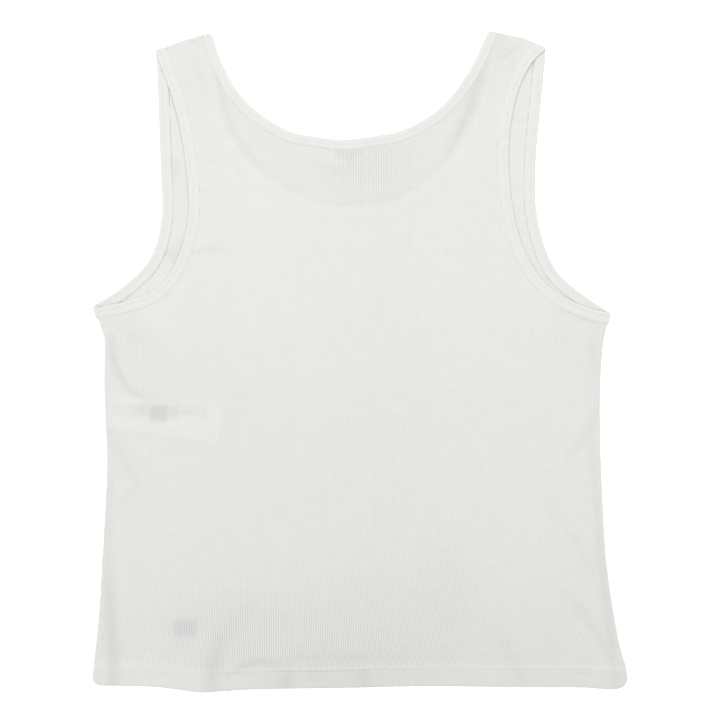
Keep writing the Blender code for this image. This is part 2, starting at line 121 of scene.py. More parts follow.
# Plain printed bars on the labels, in the label's own directions: along, across, length, width, ink
CARE_BARS = (
    (-24.0, 2.0, 15.0, 11.0, 0.45),
    (-6.4, 0.8, 15.0, 14.0, 0.95),
    (6.0, 1.2, 12.0, 11.0, 0.42),
    (20.0, 3.0, 16.0, 2.6, 0.35),
    (35.0, 2.6, 9.0, 2.6, 0.25),
    (8.0, 5.0, 60.0, 12.0, 0.24),
    (-40.0, 3.0, 14.0, 12.0, 0.2),
)
NECK_BARS = ((2.7, 3.6, 24.0, 5.0, 0.5), (4.0, -0.6, 10.0, 3.0, 0.35))
LABEL_LEAF = 0.26  # a label has two leaves and a slit between
LABEL_SLIT = 0.08
LABEL_THICK = 2 * LABEL_LEAF + LABEL_SLIT
CARE_FLOOR = 1.08  # height of the care label's underside
# A plain patch of satin stitch on the front, near the hem: x, y, width, height
PATCH = (-155.3, -235.9, 19.0, 15.5)
SATIN_PITCH = 0.42
SATIN_RADIUS = 0.2
SATIN_LEVEL = 0.22  # height of the satin threads' middle

# Stitches
THREAD_RADIUS = 0.17
THREAD_SIDES = 6
TAPE_STITCH = (2.4, 0.35)  # length, and the gap before the next
TAPE_STITCH_HEIGHT = 1.46  # above the tape's other face
HEM_STITCH = (2.5, 0.3)
HEM_STITCH_LIFT = {"back": 0.07, "front": 0.10}  # height over the layer's outer face
# A stitch from end to end: share of its length, share of its thickness, height off its line
STITCH_SECTIONS = (
    (0.0, 0.45, -0.14), (0.12, 0.9, 0.0), (0.5, 1.0, 0.05), (0.88, 0.9, 0.0), (1.0, 0.45, -0.14),
)

# The knit
RIBS = 298  # ribs across one layer, the same at the chest and at the hem
PER_RIB = 3  # columns of points to a rib
COLUMNS = RIBS * PER_RIB
RIB_DEPTH = 0.27
# How deep the ribs are drawn: everywhere, and round some places: x, y, reach in x and y, amount
RIB_BASE = 0.45
RIB_PLACES = (
    (18, -20, 62, 260, 0.85),
    (-10, -262, 170, 66, 2.4),
    (80, -190, 30, 50, 0.8),
    (-206, 20, 24, 26, 1.5),
    (186, 20, 34, 26, 1.3),
    (8, 172, 40, 24, 2.9),
    (-112, -236, 54, 26, 1.5),
    (-155, -236, 16, 13, 1.3),
)
TAPE_RIB = 1.5  # pitch of the ribs, which run across the tape
TAPE_STEP = TAPE_RIB / PER_RIB
TAPE_RIB_DEPTH = 0.2
SLIT_POINTS = 7  # the last points of a tape's section line the slit between its leaves
COURSE_PITCH = 0.95  # from one row of knit stitches to the next
FLARE_REACH = 0.15  # how far in, as a share of the width, the pull under the arms is felt
FLARE_SHARP = 0.045  # how far in the side's sharp bends are felt
FLARE_START = {"left": -85.0, "right": -50.0}  # the height it begins at
FLARE_FADE = 34.0  # how far above the underarms it ends

# Rows of points, by height above the hem
HEM_LEVEL = -289.5  # y of the first row, before it is bent to follow the hem
HEM_ROWS = (0.0, 0.4, 1.1, 2.4, 7.0, 11.5, 13.2, 14.0, 14.6, 15.0, 15.4, 16.0, 17.0, 18.2, 20.0, 22.5, 26.0)
STITCH_ROWS = (13.8, 16.8)  # the hem's two rows of stitches
HEM_GROOVE = 15.0
HEM_CORNER = 231.0  # x past which the hem turns up to its corners
BACK_ROW = 7.0  # from row to row, further up
FRONT_ROW = 15.0
COARSE_COLUMNS = 9  # a face that isn't seen has points on every ninth column only
COARSE_STRETCH = 3.0  # its triangles are worked out in a plan drawn out this far across
RIM_CLEAR = 1.6  # and keep this far from its edges
TAPE_ROWS = (-0.6, 0.1, 0.6, 1.4, 3.0, 6.0)  # rows beside each tape's inner edge
# Rows of the upper layer beside the front neckline below it, and inside its own top edge
NECK_ROWS = (-14.0, -8.0, -4.0, -1.5, 0.5, 2.5, 5.0, 9.0, 12.5, 17.0)
TOP_ROWS = (0.3, 0.7, 1.2, 2.0, 3.0)
# Rows of the lower layer inside the shoulder fold, and about its seam
FOLD_ROWS = (0.35, 0.8, 1.4)
SEAM_ROWS = (-0.45, 0.0, 0.5, 1.0, 2.0)
SEAM_INSET = {"left": 3.5, "right": 1.9}  # the back panel's top edge, from each shoulder fold

# Radii of the layers' edges, and how thin an edge may be, as a share of its layer
HEM_ROUND = 1.1
SIDE_ROUND = 1.3
SIDE_ROLL = 2.6  # how far in from a side the layers bend towards each other
FOLD_ROUND = 1.9
THINNEST = 0.12
# At the side seams: the back's underside and middle, and the front's outer and inner face
SEAM_HEIGHTS = {"back": (1.04, 1.30), "front": (0.78, 0.97)}

MOUTH_DROP = 0.14  # the leaves of a tape meet this far below its middle, in its panel's surface
TUCK = 1.2  # how far a panel's cut edge runs in between the leaves of its tapes
AIR = 0.75  # how loosely the upper layer lies on the lower one
SLOPE_NECK = 24.0  # run of the upper layer's slope down from the front neckline
CORNER_ROUND = {
    "neck_left": 5.5,
    "neck_right": 2.6,
    "shoulder_left": 1.6,
    "shoulder_right": 2.6,
    "underarm": 1.2,
}

# The rings of tape: name, upper edge, its stitches' distance in, its corners and its CAD solid
RINGS = (
    ("neck_tape", "back_neck", 4.9, ("neck_left", "neck_right"), "neck_binding"),
    ("armhole_tape_left", "back_arm_left", 3.7, ("underarm", "shoulder_left"), "armhole_binding_left"),
    ("armhole_tape_right", "back_arm_right", 3.7, ("underarm", "shoulder_right"), "armhole_binding_right"),
)

# Soft ridges, and troughs with a minus, of the upper layer: points, half width, height
BACK_CREASES = (
    (((-222, 24), (-220, 8), (-214, -12), (-202, -27), (-184, -33)), 3.6, -1.0),
    (((-208, 16), (-200, -6), (-182, -22)), 6.0, 0.50),
    (((-216, 36), (-204, 24), (-184, 10)), 5.0, -0.22),
    (((-225, -63), (-214, -80), (-205, -96), (-197, -113)), 4.0, -0.50),
    (((-197, -106), (-205, -120), (-215, -132)), 4.0, -0.30),
    (((-212, -62), (-200, -80), (-189, -102)), 6.0, 0.42),
    (((-226, -50), (-225, -130), (-222.5, -215), (-221, -270)), 4.2, -0.34),
    (((-223, -180), (-221, -236), (-219.5, -272), (-219, -345)), 5.6, -1.15),
    (((-221, -246), (-219.5, -276), (-219, -316)), 6.0, -0.55),
    (((-208, -190), (-207, -240), (-206, -300)), 8.0, 0.40),
    (((-116, -240), (-126, -256), (-130, -272), (-132, -314)), 8.0, -1.05),
    (((-98, -214), (-108, -232), (-122, -252)), 7.0, -0.30),
    (((-94, -232), (-110, -254), (-117, -280), (-117, -310)), 5.5, 0.60),
    (((-142, -246), (-147, -274), (-148, -306)), 7.0, 0.42),
    (((-122, -280), (-108, -272), (-92, -267), (-70, -269)), 3.4, -0.85),
    (((-62, -262), (-48, -263), (-32, -262)), 3.6, -0.40),
    (((-22, -262), (-12, -263), (10, -265)), 3.6, -0.55),
    (((-64, -272), (-65, -284), (-64, -302)), 6.0, -0.95),
    (((2, -268), (3, -282), (2, -300)), 6.5, -0.60),
    (((-76, -262), (-20, -262), (36, -261)), 4.6, -0.25),
    (((-186, 99), (-160, 98), (-118, 99)), 3.0, -0.50),
    (((-160, 106), (-146, 107), (-116, 108)), 5.0, 0.42),
    (((-146, 262), (-141, 248), (-139, 232)), 3.0, -0.20),
    (((-139, 264), (-134, 250), (-132, 236)), 4.0, 0.16),
    (((-137, 182), (-127, 175), (-117, 164)), 2.6, -0.26),
    (((-130, 187), (-120, 179), (-112, 170)), 2.6, -0.20),
    (((-134, 172), (-124, 165), (-116, 156)), 3.0, 0.16),
    (((206, 22), (208, 2), (210, -14)), 4.0, -0.44),
    (((196, 20), (194, 0), (190, -14)), 6.0, 0.36),
    (((212, -36), (206, -56), (197, -72), (185, -89)), 3.6, -0.50),
    (((199, -42), (190, -62), (179, -79)), 6.0, 0.42),
    (((172, -130), (186, -152), (198, -172), (210, -198)), 3.8, -0.44),
    (((184, -136), (198, -160), (209, -182)), 4.0, 0.42),
    (((158, -138), (174, -164), (192, -194)), 7.0, 0.36),
    (((182, -204), (200, -226), (214, -247), (228, -272)), 4.5, -0.58),
    (((196, -204), (210, -226), (223, -248)), 4.2, 0.46),
    (((168, -210), (187, -238), (206, -268)), 8.0, 0.50),
    (((207, -76), (211, -130), (216, -190), (225, -262), (230, -350)), 3.6, -0.66),
    (((116, -236), (130, -254), (139, -270), (144, -300)), 6.0, -0.46),
    (((134, -234), (147, -254), (156, -282), (160, -310)), 6.0, 0.46),
    (((100, -244), (112, -266), (118, -300)), 8.0, 0.36),
    (((182, 47), (202, 39), (224, 36)), 3.0, -0.95),
    (((121, 304), (114, 276), (106, 246), (96, 217), (77, 188)), 4.8, -0.78),
    (((118, 300), (128, 280), (140, 262)), 12.0, -0.30),
    (((123, 272), (114, 238), (104, 208)), 5.0, 0.42),
    (((141, 281), (134, 275.5), (127, 269)), 2.2, -0.95),
    (((148, 277), (139, 270), (132, 263)), 4.0, 0.50),
    (((60, -262), (66, -300)), 9.0, 0.40),
    (((-36, -262), (-34, -300)), 9.0, 0.42),
    (((24, -268), (26, -300)), 6.0, 0.30),
    (((-90, -282), (-90, -310)), 7.0, 0.36),
)
# Gentler ones of the lower layer, whose outer face lies on the table
FRONT_CREASES = (
    (((-212, 20), (-200, -16), (-180, -60)), 6.0, 0.40),
    (((-206, -150), (-211, -220), (-216, -284)), 7.0, 0.42),
    (((-96, -196), (-110, -246), (-118, -290)), 8.0, 0.45),
    (((-20, -240), (-26, -290)), 8.0, 0.35),
    (((70, -232), (84, -288)), 7.0, 0.40),
    (((150, -190), (172, -236), (196, -288)), 8.0, 0.45),
    (((202, 6), (188, -34), (176, -62)), 6.0, 0.40),
    (((-150, 96), (-110, 88), (-60, 92)), 7.0, 0.35),
    (((40, 96), (96, 84), (140, 92)), 7.0, 0.35),
    (((-172, 168), (-162, 156), (-150, 146)), 4.0, 0.35),
    (((156, 80), (166, 70), (176, 64)), 4.0, 0.30),
)
# Troughs of its inner face, which shows inside the armholes
INNER_CREASES = (
    (((-174, 188), (-163, 171), (-150, 152)), 3.2, -0.80),
    (((-190, 98), (-172, 97), (-140, 98)), 3.4, -0.95),
    (((-196, 72), (-184, 80), (-174, 92)), 3.0, -0.30),
    (((148, 94), (157, 81), (170, 70)), 3.0, -0.40),
    (((150, 150), (152, 120), (158, 100)), 3.0, -0.25),
)

# Where an upper tape's outer edge curls up: the tape, True from its shoulder or False from its
# underarm, height, middle and half width of the curl, where it may begin and how soon it grows
TAPE_LIFTS = (
    ("back_arm_right", True, 1.5, 17.0, 9.0, 3.0, 8.0),
    ("back_arm_right", False, 1.1, 12.0, 16.0, 3.0, 5.0),
    ("back_arm_left", True, 0.35, 60.0, 30.0, -1.0, 0.5),
    ("back_arm_left", False, 1.3, 11.0, 12.0, 3.6, 4.5),
)

# Places of the upper layer with closer rows, for creases that run across: x range, y range, step
CLOSE_ROWS = (
    (-152.0, -108.0, 89.0, 112.0, 1.9),
    (-148.0, -100.0, 150.0, 190.0, 2.2),
    (118.0, 152.0, 259.0, 286.0, 1.4),
    (-226.0, -176.0, -40.0, 4.0, 2.4),
    (176.0, 226.0, 30.0, 48.0, 2.0),
    (-118.0, 40.0, -274.0, -256.0, 2.0),
)

# The same round the patch and the neck label: reach to each side, down and up, and step
NEAR_PATCH = (13, 12, 13, 2.4)
NEAR_LABEL = (23, 8, 8, 2.0)

# Colours (linear red, green, blue)
IVORY = (0.886, 0.884, 0.852)
IVORY_TAPE = (0.904, 0.902, 0.872)
THREAD = (0.93, 0.93, 0.91)
LABEL_WHITE = (0.92, 0.92, 0.91)
INK = (0.10, 0.11, 0.14)
INK_STRENGTH = 1.4  # on the label itself, next to what shows through the cloth
PATCH_THREAD = (0.16, 0.20, 0.29)
# What a single layer, and things seen through the cloth, do to its colour
SINGLE_LAYER = (0.975, 0.976, 0.996)
OVER_TAPE = (1.004, 1.004, 1.004)
OVER_LABEL = (1.034, 1.034, 1.032)
OVER_INK = (0.845, 0.852, 0.880)
OVER_PATCH = (0.912, 0.919, 0.950)
TROUGH_SHADE = 0.085  # painted shade: darkening of a trough, to each millimetre of its depth
GROOVE_SHADE = 0.10  # painted shade: how much darker the groove between two ribs is
# Broad soft painted shade of the upper layer, and painted light where the amount is above 0: x, y, reach in
# x and y, amount
BROAD_SHADE_AND_LIGHT = (
    (-13, -96, 230, 100, -0.012),
    (-150, -30, 60, 45, -0.018),
    (-97, -141, 60, 60, -0.008),
    (-124, -246, 45, 22, 0.030),
    (-146, 262, 24, 55, -0.022),
    (112, 272, 22, 32, -0.026),
    (176, -240, 42, 60, -0.016),
    (-10, -276, 240, 12, -0.014),
)

# The stage, in metres
FLOOR_HALF = 4.0
FLOOR_LEVEL = -0.00012
FLOOR_CORNERS = ((-1, -1), (1, -1), (1, 1), (-1, 1))
KEY_PLACE = (-0.1, 0.52, 1.9)
KEY_AIM = (0.0, 0.05, 0.0)
KEY_SIZE = (1.8, 1.2)
KEY_POWER = 21.8  # watts
WORLD_STRENGTH = 0.50
CAMERA_HEIGHT = 1.8
SENSOR_WIDTH = 36.0  # millimetres
VIEW_WIDTH = 0.6408  # of the table across the picture
VIEW_CENTRE = (0.0, 0.0022)


# Plane geometry


def spaced(points, step):
    """The points of a line again, evenly spaced at about step, ends kept."""
    points = np.asarray(points, float)
    along = run_of(points)
    wanted = np.linspace(0.0, along[-1], max(2, int(round(along[-1] / step)) + 1))
    return at_run(wanted, along, points)


def at_run(wanted, run, values):
    """Values kept along a run, at other places on it."""
    return np.column_stack([np.interp(wanted, run, column) for column in np.transpose(values)])


def run_of(points):
    """Length along a line at each of its points."""
    return np.concatenate([[0.0], np.cumsum(np.linalg.norm(np.diff(points, axis=0), axis=1))])


def smooth_curve(rows, step):
    """A centripetal Catmull-Rom curve through the rows, evenly spaced."""
    rows = np.asarray(rows, float)
    rows = np.vstack([2 * rows[0] - rows[1], rows, 2 * rows[-1] - rows[-2]])
    drawn = []
    for a, b, c, d in zip(rows, rows[1:], rows[2:], rows[3:]):
        t1 = np.linalg.norm(b - a) ** 0.5
        t2 = t1 + np.linalg.norm(c - b) ** 0.5
        t3 = t2 + np.linalg.norm(d - c) ** 0.5
        t = np.linspace(t1, t2, 24, endpoint=False)[:, None]
        ab = (t1 - t) / t1 * a + t / t1 * b
        bc = (t2 - t) / (t2 - t1) * b + (t - t1) / (t2 - t1) * c
        cd = (t3 - t) / (t3 - t2) * c + (t - t2) / (t3 - t2) * d
        abc = (t2 - t) / t2 * ab + t / t2 * bc
        bcd = (t3 - t) / (t3 - t1) * bc + (t - t1) / (t3 - t1) * cd
        drawn.append((t2 - t) / (t2 - t1) * abc + (t - t1) / (t2 - t1) * bcd)
    return spaced(np.vstack([*drawn, rows[-2][None]]), step)


def unit(v):
    return v / np.linalg.norm(v, axis=-1, keepdims=True)


def nearest_on(line, points, reach=60.0):
    """Each point's distance to an open line, and how far along the line that is. A point
    further than reach from the line's box gets a large distance."""
    start, way = line[:-1], np.diff(line, axis=0)
    long = np.linalg.norm(way, axis=1)
    begun = run_of(line)[:-1]
    away, along = np.full(len(points), 1e3), np.zeros(len(points))
    near = ((points > line.min(0) - reach) & (points < line.max(0) + reach)).all(1)
    which = np.flatnonzero(near)
    for i in range(0, len(which), 3000):
        some = which[i : i + 3000]
        off = points[some][:, None] - start
        share = np.clip((off * way).sum(2) / long**2, 0, 1)
        off = np.linalg.norm(off - share[..., None] * way, axis=2)
        best = off.argmin(1)
        rows = np.arange(len(best))
        away[some] = off[rows, best]
        along[some] = begun[best] + share[rows, best] * long[best]
    return away, along


def inside(loop, points):
    """True for each point inside a closed loop."""
    a, b = loop, np.roll(loop, -1, axis=0)
    found = np.zeros(len(points), bool)
    for i in range(0, len(points), 3000):
        x, y = points[i : i + 3000, 0][:, None], points[i : i + 3000, 1][:, None]
        crosses = (a[:, 1] > y) != (b[:, 1] > y)
        rise = np.where(crosses, b[:, 1] - a[:, 1], 1.0)
        at = a[:, 0] + (y - a[:, 1]) / rise * (b[:, 0] - a[:, 0])
        found[i : i + 3000] = (crosses & (x < at)).sum(1) % 2 == 1
    return found


def smoothed(values, size):
    """Values averaged with their neighbours, through a soft window of this odd size."""
    window = np.hanning(size)[1:-1]
    padded = np.pad(values, (size - 3) // 2, mode="edge")
    return np.convolve(padded, window / window.sum(), mode="valid")


def ramp(value, start, length):
    """0 before start, 1 past start + length, and smooth between."""
    t = np.clip((value - start) / length, 0, 1)
    return t * t * (3 - 2 * t)


def hump(value, centre, half_width):
    """1 at the centre, falling softly to 0 at about twice half_width either side."""
    return np.exp(-(((value - centre) / half_width) ** 2))


# Edges of the garment


class Tape:
    """One bound edge of one layer: stations along its outer edge, and at each the way across
    the tape. hand is 1 where the cloth lies to the left of the line, and -1 to the right."""

    def __init__(self, rows, width, hand, first_way, last_way):
        self.line, self.width, self.level = smooth_curve(rows, TAPE_STEP), width, None
        along = unit(np.gradient(self.line, axis=0))
        self.way = np.column_stack([-along[:, 1], along[:, 0]]) * hand
        self.run = run_of(self.line)
        for away, end_way in ((self.run, first_way), (self.run[-1] - self.run, last_way)):
            share = (1 - ramp(away, TURN_RUN, TURN_BLEND - TURN_RUN))[:, None]
            self.way = unit(self.way * (1 - share) + end_way * share)

    def inset(self, distance):
        return self.line + self.way * distance


def fold_way(corner, towards):
    return unit(np.subtract(towards, corner))


def off_fold(corner, way):
    """Unit vector square to a fold at a corner of the garment, away from the cloth."""
    outward = np.array([way[1], -way[0]])
    return outward * np.sign(outward @ corner)


def make_edges():
    """The bound edges of both layers. Each runs into the fold or the side seam at its ends."""
    top_left, top_right = STRAP_TOP_LEFT[1], STRAP_TOP_RIGHT[1]
    down_left = fold_way(UNDERARM_LEFT, SIDE_LEFT[1])
    down_right = fold_way(UNDERARM_RIGHT, SIDE_RIGHT[1])
    neck = (NECK_TAPE_WIDTH, -1, fold_way(NECK_LEFT, top_left), fold_way(NECK_RIGHT, top_right))
    left = (ARM_TAPE_WIDTH, -1, down_left, fold_way(SHOULDER_LEFT, top_left))
    right = (ARM_TAPE_WIDTH, 1, down_right, fold_way(SHOULDER_RIGHT, top_right))
    return {
        "back_neck": Tape(BACK_NECK, *neck),
        "front_neck": Tape(FRONT_NECK, *neck),
        "back_arm_left": Tape(BACK_ARM_LEFT, *left),
        "front_arm_left": Tape(FRONT_ARM_LEFT, *left),
        "back_arm_right": Tape(BACK_ARM_RIGHT, *right),
        "front_arm_right": Tape(FRONT_ARM_RIGHT, *right),
    }


EDGES = make_edges()
SIDES = {"left": smooth_curve(SIDE_LEFT, 3.0)[::-1], "right": smooth_curve(SIDE_RIGHT, 3.0)[::-1]}
HEM = smooth_curve(HEM_EDGE, 3.0)
STRAP_TOPS = {"left": np.array(STRAP_TOP_LEFT), "right": np.array(STRAP_TOP_RIGHT)}
FRONT_NECK_OPENING = np.vstack(
    [
        EDGES["front_neck"].line[::4],
        [(NECK_RIGHT[0], 2 * NECK_RIGHT[1]), (NECK_LEFT[0], 2 * NECK_RIGHT[1])],
    ]
)


def tapes_of(layer):
    """A layer's bound edges: at its neck, its left armhole and its right one."""
    return [EDGES[f"{layer}_{place}"] for place in ("neck", "arm_left", "arm_right")]


def shoulder_line(side, inset):
    """The fold at a strap's top, or the line this far inside it: its two ends and its bend."""
    top = STRAP_TOPS[side]
    first, second = unit(np.diff(top, axis=0))
    along = np.array([first, unit(first + second), second])
    over = np.column_stack([-along[:, 1], along[:, 0]])
    reach = np.array([[1.0], [1 / (along[1] @ first)], [1.0]])
    return top - over * np.sign(over[:, 1:]) * reach * inset


def from_fold(points):
    """How far each point lies inside the nearer shoulder fold."""
    return np.minimum(*(nearest_on(top, points)[0] for top in STRAP_TOPS.values()))


def from_seam(points):
    """How far each point lies inside the back panel's top edge, or outside it with a minus."""
    away = [nearest_on(STRAP_TOPS[side], points)[0] - SEAM_INSET[side] for side in SEAM_INSET]
    return np.minimum(*away)


# How the ribs run


def side_x(side, y):
    line = SIDES[side]
    return np.interp(y, line[:, 1], line[:, 0])


def side_flare(side, y):
    """How far the underarm pulls the outermost rib outwards at each height."""
    top = UNDERARM_LEFT[1] if side == "left" else UNDERARM_RIGHT[1]
    start = FLARE_START[side]
    out = side_x(side, np.clip(y, start, top)) - side_x(side, start)
    return out * (1 - ramp(y, top, FLARE_FADE))


def soft_flare(side):
    """The same pull with the side's sharp bends smoothed out, as heights and pulls."""
    y = np.arange(FLARE_START[side] - 60.0, 200.0, 2.0)
    return y, smoothed(side_flare(side, y), 29)


SOFT_FLARES = {side: soft_flare(side) for side in SIDES}


def flare(side, share, y):
    """How far each rib is pulled towards one side: the outermost ones follow the side's bends."""
    near = 1 - ramp(share, 0.0, FLARE_SHARP)
    pull = near * side_flare(side, y) + (1 - near) * np.interp(y, *SOFT_FLARES[side])
    return pull * (1 - ramp(share, 0.0, FLARE_REACH))


def body_sides(y):
    """x of both sides at height y, without the pull of the underarms."""
    return [side_x(side, np.minimum(y, FLARE_START[side])) for side in SIDES]


def column_x(share, y):
    """x of the rib at this share of the width, from the left side to the right, at height y."""
    left, right = body_sides(y)
    x = left + (right - left) * share
    return x + flare("left", share, y) + flare("right", 1 - share, y)


def share_at(points):
    """The rib that passes through each point, as a share of the width."""
    x, y = points[:, 0], points[:, 1]
    left, right = body_sides(y)
    share = (x - left) / (right - left)
    for _ in range(12):
        share = share - 0.8 * (column_x(share, y) - x) / (right - left)
    return share


def hem_y(x):
    return np.interp(x, HEM[:, 0], HEM[:, 1])


def row_y(row, x):
    """Height of a row of points, which follows the hem near it and is level further up."""
    level = hem_y(np.clip(x, -HEM_CORNER, HEM_CORNER))
    corner = (hem_y(x) - level) * (1 - np.clip(row / 8.0, 0, 1))
    return HEM_LEVEL + row + (level - HEM_LEVEL) * (1 - ramp(row, 25.0, 65.0)) + corner


def above_hem(points):
    level = hem_y(np.clip(points[:, 0], -HEM_CORNER, HEM_CORNER))
    return points[:, 1] - level


def from_side(points):
    """Distance in from the nearer side edge, for points below the underarms."""
    x, y = points[:, 0], points[:, 1]
    left = x - side_x("left", np.minimum(y, UNDERARM_LEFT[1]))
    right = side_x("right", np.minimum(y, UNDERARM_RIGHT[1])) - x
    return np.minimum(left, right) + 60 * ramp(y, 52.0, 20.0)


# Meshing a layer along its ribs


def in_shares(line):
    return np.column_stack([share_at(line), line[:, 1]])


def crossings(line, share):
    """Heights where a rib meets a line, whose points are given as share and y."""
    a, b = line[:-1], line[1:]
    meets = (a[:, 0] > share) != (b[:, 0] > share)
    a, b = a[meets], b[meets]
    return a[:, 1] + (share - a[:, 0]) / (b[:, 0] - a[:, 0]) * (b[:, 1] - a[:, 1])


def thinned(candidates, clear):
    """Heights in order, where one that is too near to a more important one is left out.
    candidates are (heights, rank), the most important first."""
    kept = np.empty(0)
    for heights, least in candidates:
        heights = np.sort(np.asarray(heights, float))
        for y in heights:
            if len(kept) == 0 or np.abs(kept - y).min() > least * clear:
                kept = np.append(kept, y)
    return np.sort(kept)


def column_runs(share, top, features, patches, step):
    """The points of one column, as one list of heights for each stretch inside the cloth."""
    ends = np.sort(crossings(top, share))
    rows = np.concatenate([HEM_ROWS, np.arange(HEM_ROWS[-1] + step, 600.0, step)])
    y = HEM_LEVEL + rows
    for _ in range(2):
        y = row_y(rows, column_x(share, y))
    extra = [crossings(line, share) for line in features]
    for x0, x1, y0, y1, close in patches:
        if x0 < column_x(share, y0) < x1:
            extra.append(np.arange(y0, y1, close))
    extra = np.concatenate(extra)
    bounds = [(y[0], ends[0])] + [(ends[i], ends[i + 1]) for i in range(1, len(ends) - 1, 2)]
    runs = []
    for low, high in bounds:
        if high - low < 1.0:
            continue
        within = [(y[: len(HEM_ROWS)], 0.3), (extra, 0.3), (y[len(HEM_ROWS) :], 2.6)]
        within = [(h[(h > low + 0.3) & (h < high - 0.3)], least) for h, least in within]
        runs.append(thinned([([low, high], 0.0), *within], 1.0))
    return runs


def zip_columns(left, right, y, faces):
    """Triangles between two neighbouring stretches, each a list of point numbers upwards."""
    i = j = 0
    while i < len(left) - 1 or j < len(right) - 1:
        leap_left = abs(y[left[i + 1]] - y[right[j]]) if i < len(left) - 1 else np.inf
        leap_right = abs(y[right[j + 1]] - y[left[i]]) if j < len(right) - 1 else np.inf
        if leap_left <= leap_right:
            faces.append((left[i], right[j], left[i + 1]))
            i += 1
        else:
            faces.append((left[i], right[j], right[j + 1]))
            j += 1


def part_facing(run, faced, place, y):
    """The part of a run that faces one of the runs beside it, cut half way to the others."""
    first, last = 0, len(run) - 1
    if place > 0:
        below = (y[faced[place - 1][-1]] + y[faced[place][0]]) / 2
        first = int(np.abs(y[run] - below).argmin())
    if place < len(faced) - 1:
        above = (y[faced[place][-1]] + y[faced[place + 1][0]]) / 2
        last = int(np.abs(y[run] - above).argmin())
    return run[first : last + 1]


def rib_plan(top, features, patches, step):
    """Points on every rib of a layer, and the triangles between them, seen from above."""
    heights, shares, columns = [], [], []
    count = 0
    for k in range(COLUMNS + 1):
        runs = []
        for ys in column_runs(k / COLUMNS, top, features, patches, step):
            runs.append(np.arange(count, count + len(ys)))
            heights.append(ys)
            shares.append(np.full(len(ys), k / COLUMNS))
            count += len(ys)
        columns.append(runs)
    y, share = np.concatenate(heights), np.concatenate(shares)
    faces = []
    for left, right in zip(columns, columns[1:]):
        pairs = [
            (i, j)
            for i, a in enumerate(left)
            for j, b in enumerate(right)
            if min(y[a[-1]], y[b[-1]]) - max(y[a[0]], y[b[0]]) > 0.2
        ]
        for i, j in pairs:
            to_right = [n for m, n in pairs if m == i]
            to_left = [m for m, n in pairs if n == j]
            left_part = part_facing(left[i], [right[n] for n in to_right], to_right.index(j), y)
            right_part = part_facing(right[j], [left[m] for m in to_left], to_left.index(i), y)
            zip_columns(left_part, right_part, y, faces)
    plan = np.column_stack([column_x(share, y), y])
    return plan, share, np.array(faces)


def rim_of(faces):
    """The outer edges of a sheet of triangles, each as its faces run."""
    edges = np.vstack([faces[:, [0, 1]], faces[:, [1, 2]], faces[:, [2, 0]]])
    ahead = edges[:, 0].astype(np.int64) * 10**7 + edges[:, 1]
    back = edges[:, 1].astype(np.int64) * 10**7 + edges[:, 0]
    return edges[~np.isin(ahead, back)]


def loops_of(rim):
    """The outer edges as closed loops of point numbers."""
    following = {int(a): int(b) for a, b in rim}
    loops = []
    while following:
        start = next(iter(following))
        loop = [start]
        at = following.pop(start)
        while at != start:
            loop.append(at)
            at = following.pop(at)
        loops.append(loop)
    return loops


def coarse_faces(plan, share, rim):
    """The same outline again with fewer points inside: point numbers of its triangles."""
    loops = loops_of(rim)
    column = np.round(share * COLUMNS).astype(int)
    on_rim = np.zeros(len(plan), bool)
    on_rim[rim.ravel()] = True
    inner = np.flatnonzero((column % COARSE_COLUMNS == 0) & ~on_rim)
    clear = np.ones(len(inner), bool)
    for loop in loops:
        closed = np.vstack([plan[loop], plan[loop[:1]]])
        clear &= nearest_on(closed, plan[inner], 5.0)[0] > RIM_CLEAR
    inner = inner[clear]
    used = np.concatenate([np.concatenate(loops), inner])
    flat = [Vector((plan[i, 0] * COARSE_STRETCH, plan[i, 1])) for i in used]
    constraint, begun = [], 0
    for loop in loops:
        size = len(loop)
        constraint += [(begun + i, begun + (i + 1) % size) for i in range(size)]
        begun += size
    made = delaunay_2d_cdt(flat, constraint, [], 0, 1e-6, True)
    source = [used[ids[0]] for ids in made[3]]
    faces = np.array([[source[i] for i in f] for f in made[2] if len(f) == 3])
    middle = plan[faces].mean(1)
    kept = np.zeros(len(faces), bool)
    for loop in loops:
        kept ^= inside(plan[loop], middle)
    return faces[kept]


# Heights


def turned(points, degrees):
    """Points turned about the origin."""
    c, s = np.cos(np.radians(degrees)), np.sin(np.radians(degrees))
    return points @ np.array([[c, s], [-s, c]])


def label_corners(label, margin):
    x, y, length, width, turn = label
    square = np.array([(-1, -1), (1, -1), (1, 1), (-1, 1)])
    return turned(square * (length / 2 + margin, width / 2 + margin), turn) + (x, y)


def care_page(turn):
    """A page of the care label, by its middle."""
    length, width = CARE_PAGE
    middle = turned(np.array([length / 2, 0.0]), turn) + CARE_SEAM
    return (*middle, length, width, turn)


CARE_PAGES = [care_page(turn) for turn in CARE_TURNS]


def in_label(label, points):
    """Each point in a label's own directions, from its middle."""
    return turned(points - label[:2], -label[4])


def box_mask(local, centre, size, soft):
    """1 inside a rectangle, 0 outside, with soft edges."""
    off = np.abs(local - centre) - np.asarray(size) / 2
    return (1 - ramp(off[:, 0], -soft, 2 * soft)) * (1 - ramp(off[:, 1], -soft, 2 * soft))


def over_label(label, points, level, floor):
    local = np.abs(in_label(label, points)) - np.array([label[2] / 2, label[3] / 2])
    away = np.linalg.norm(np.maximum(local, 0), axis=1)
    return floor + (level - floor) * (1 - ramp(away, 0.2, SLOPE_OUT))


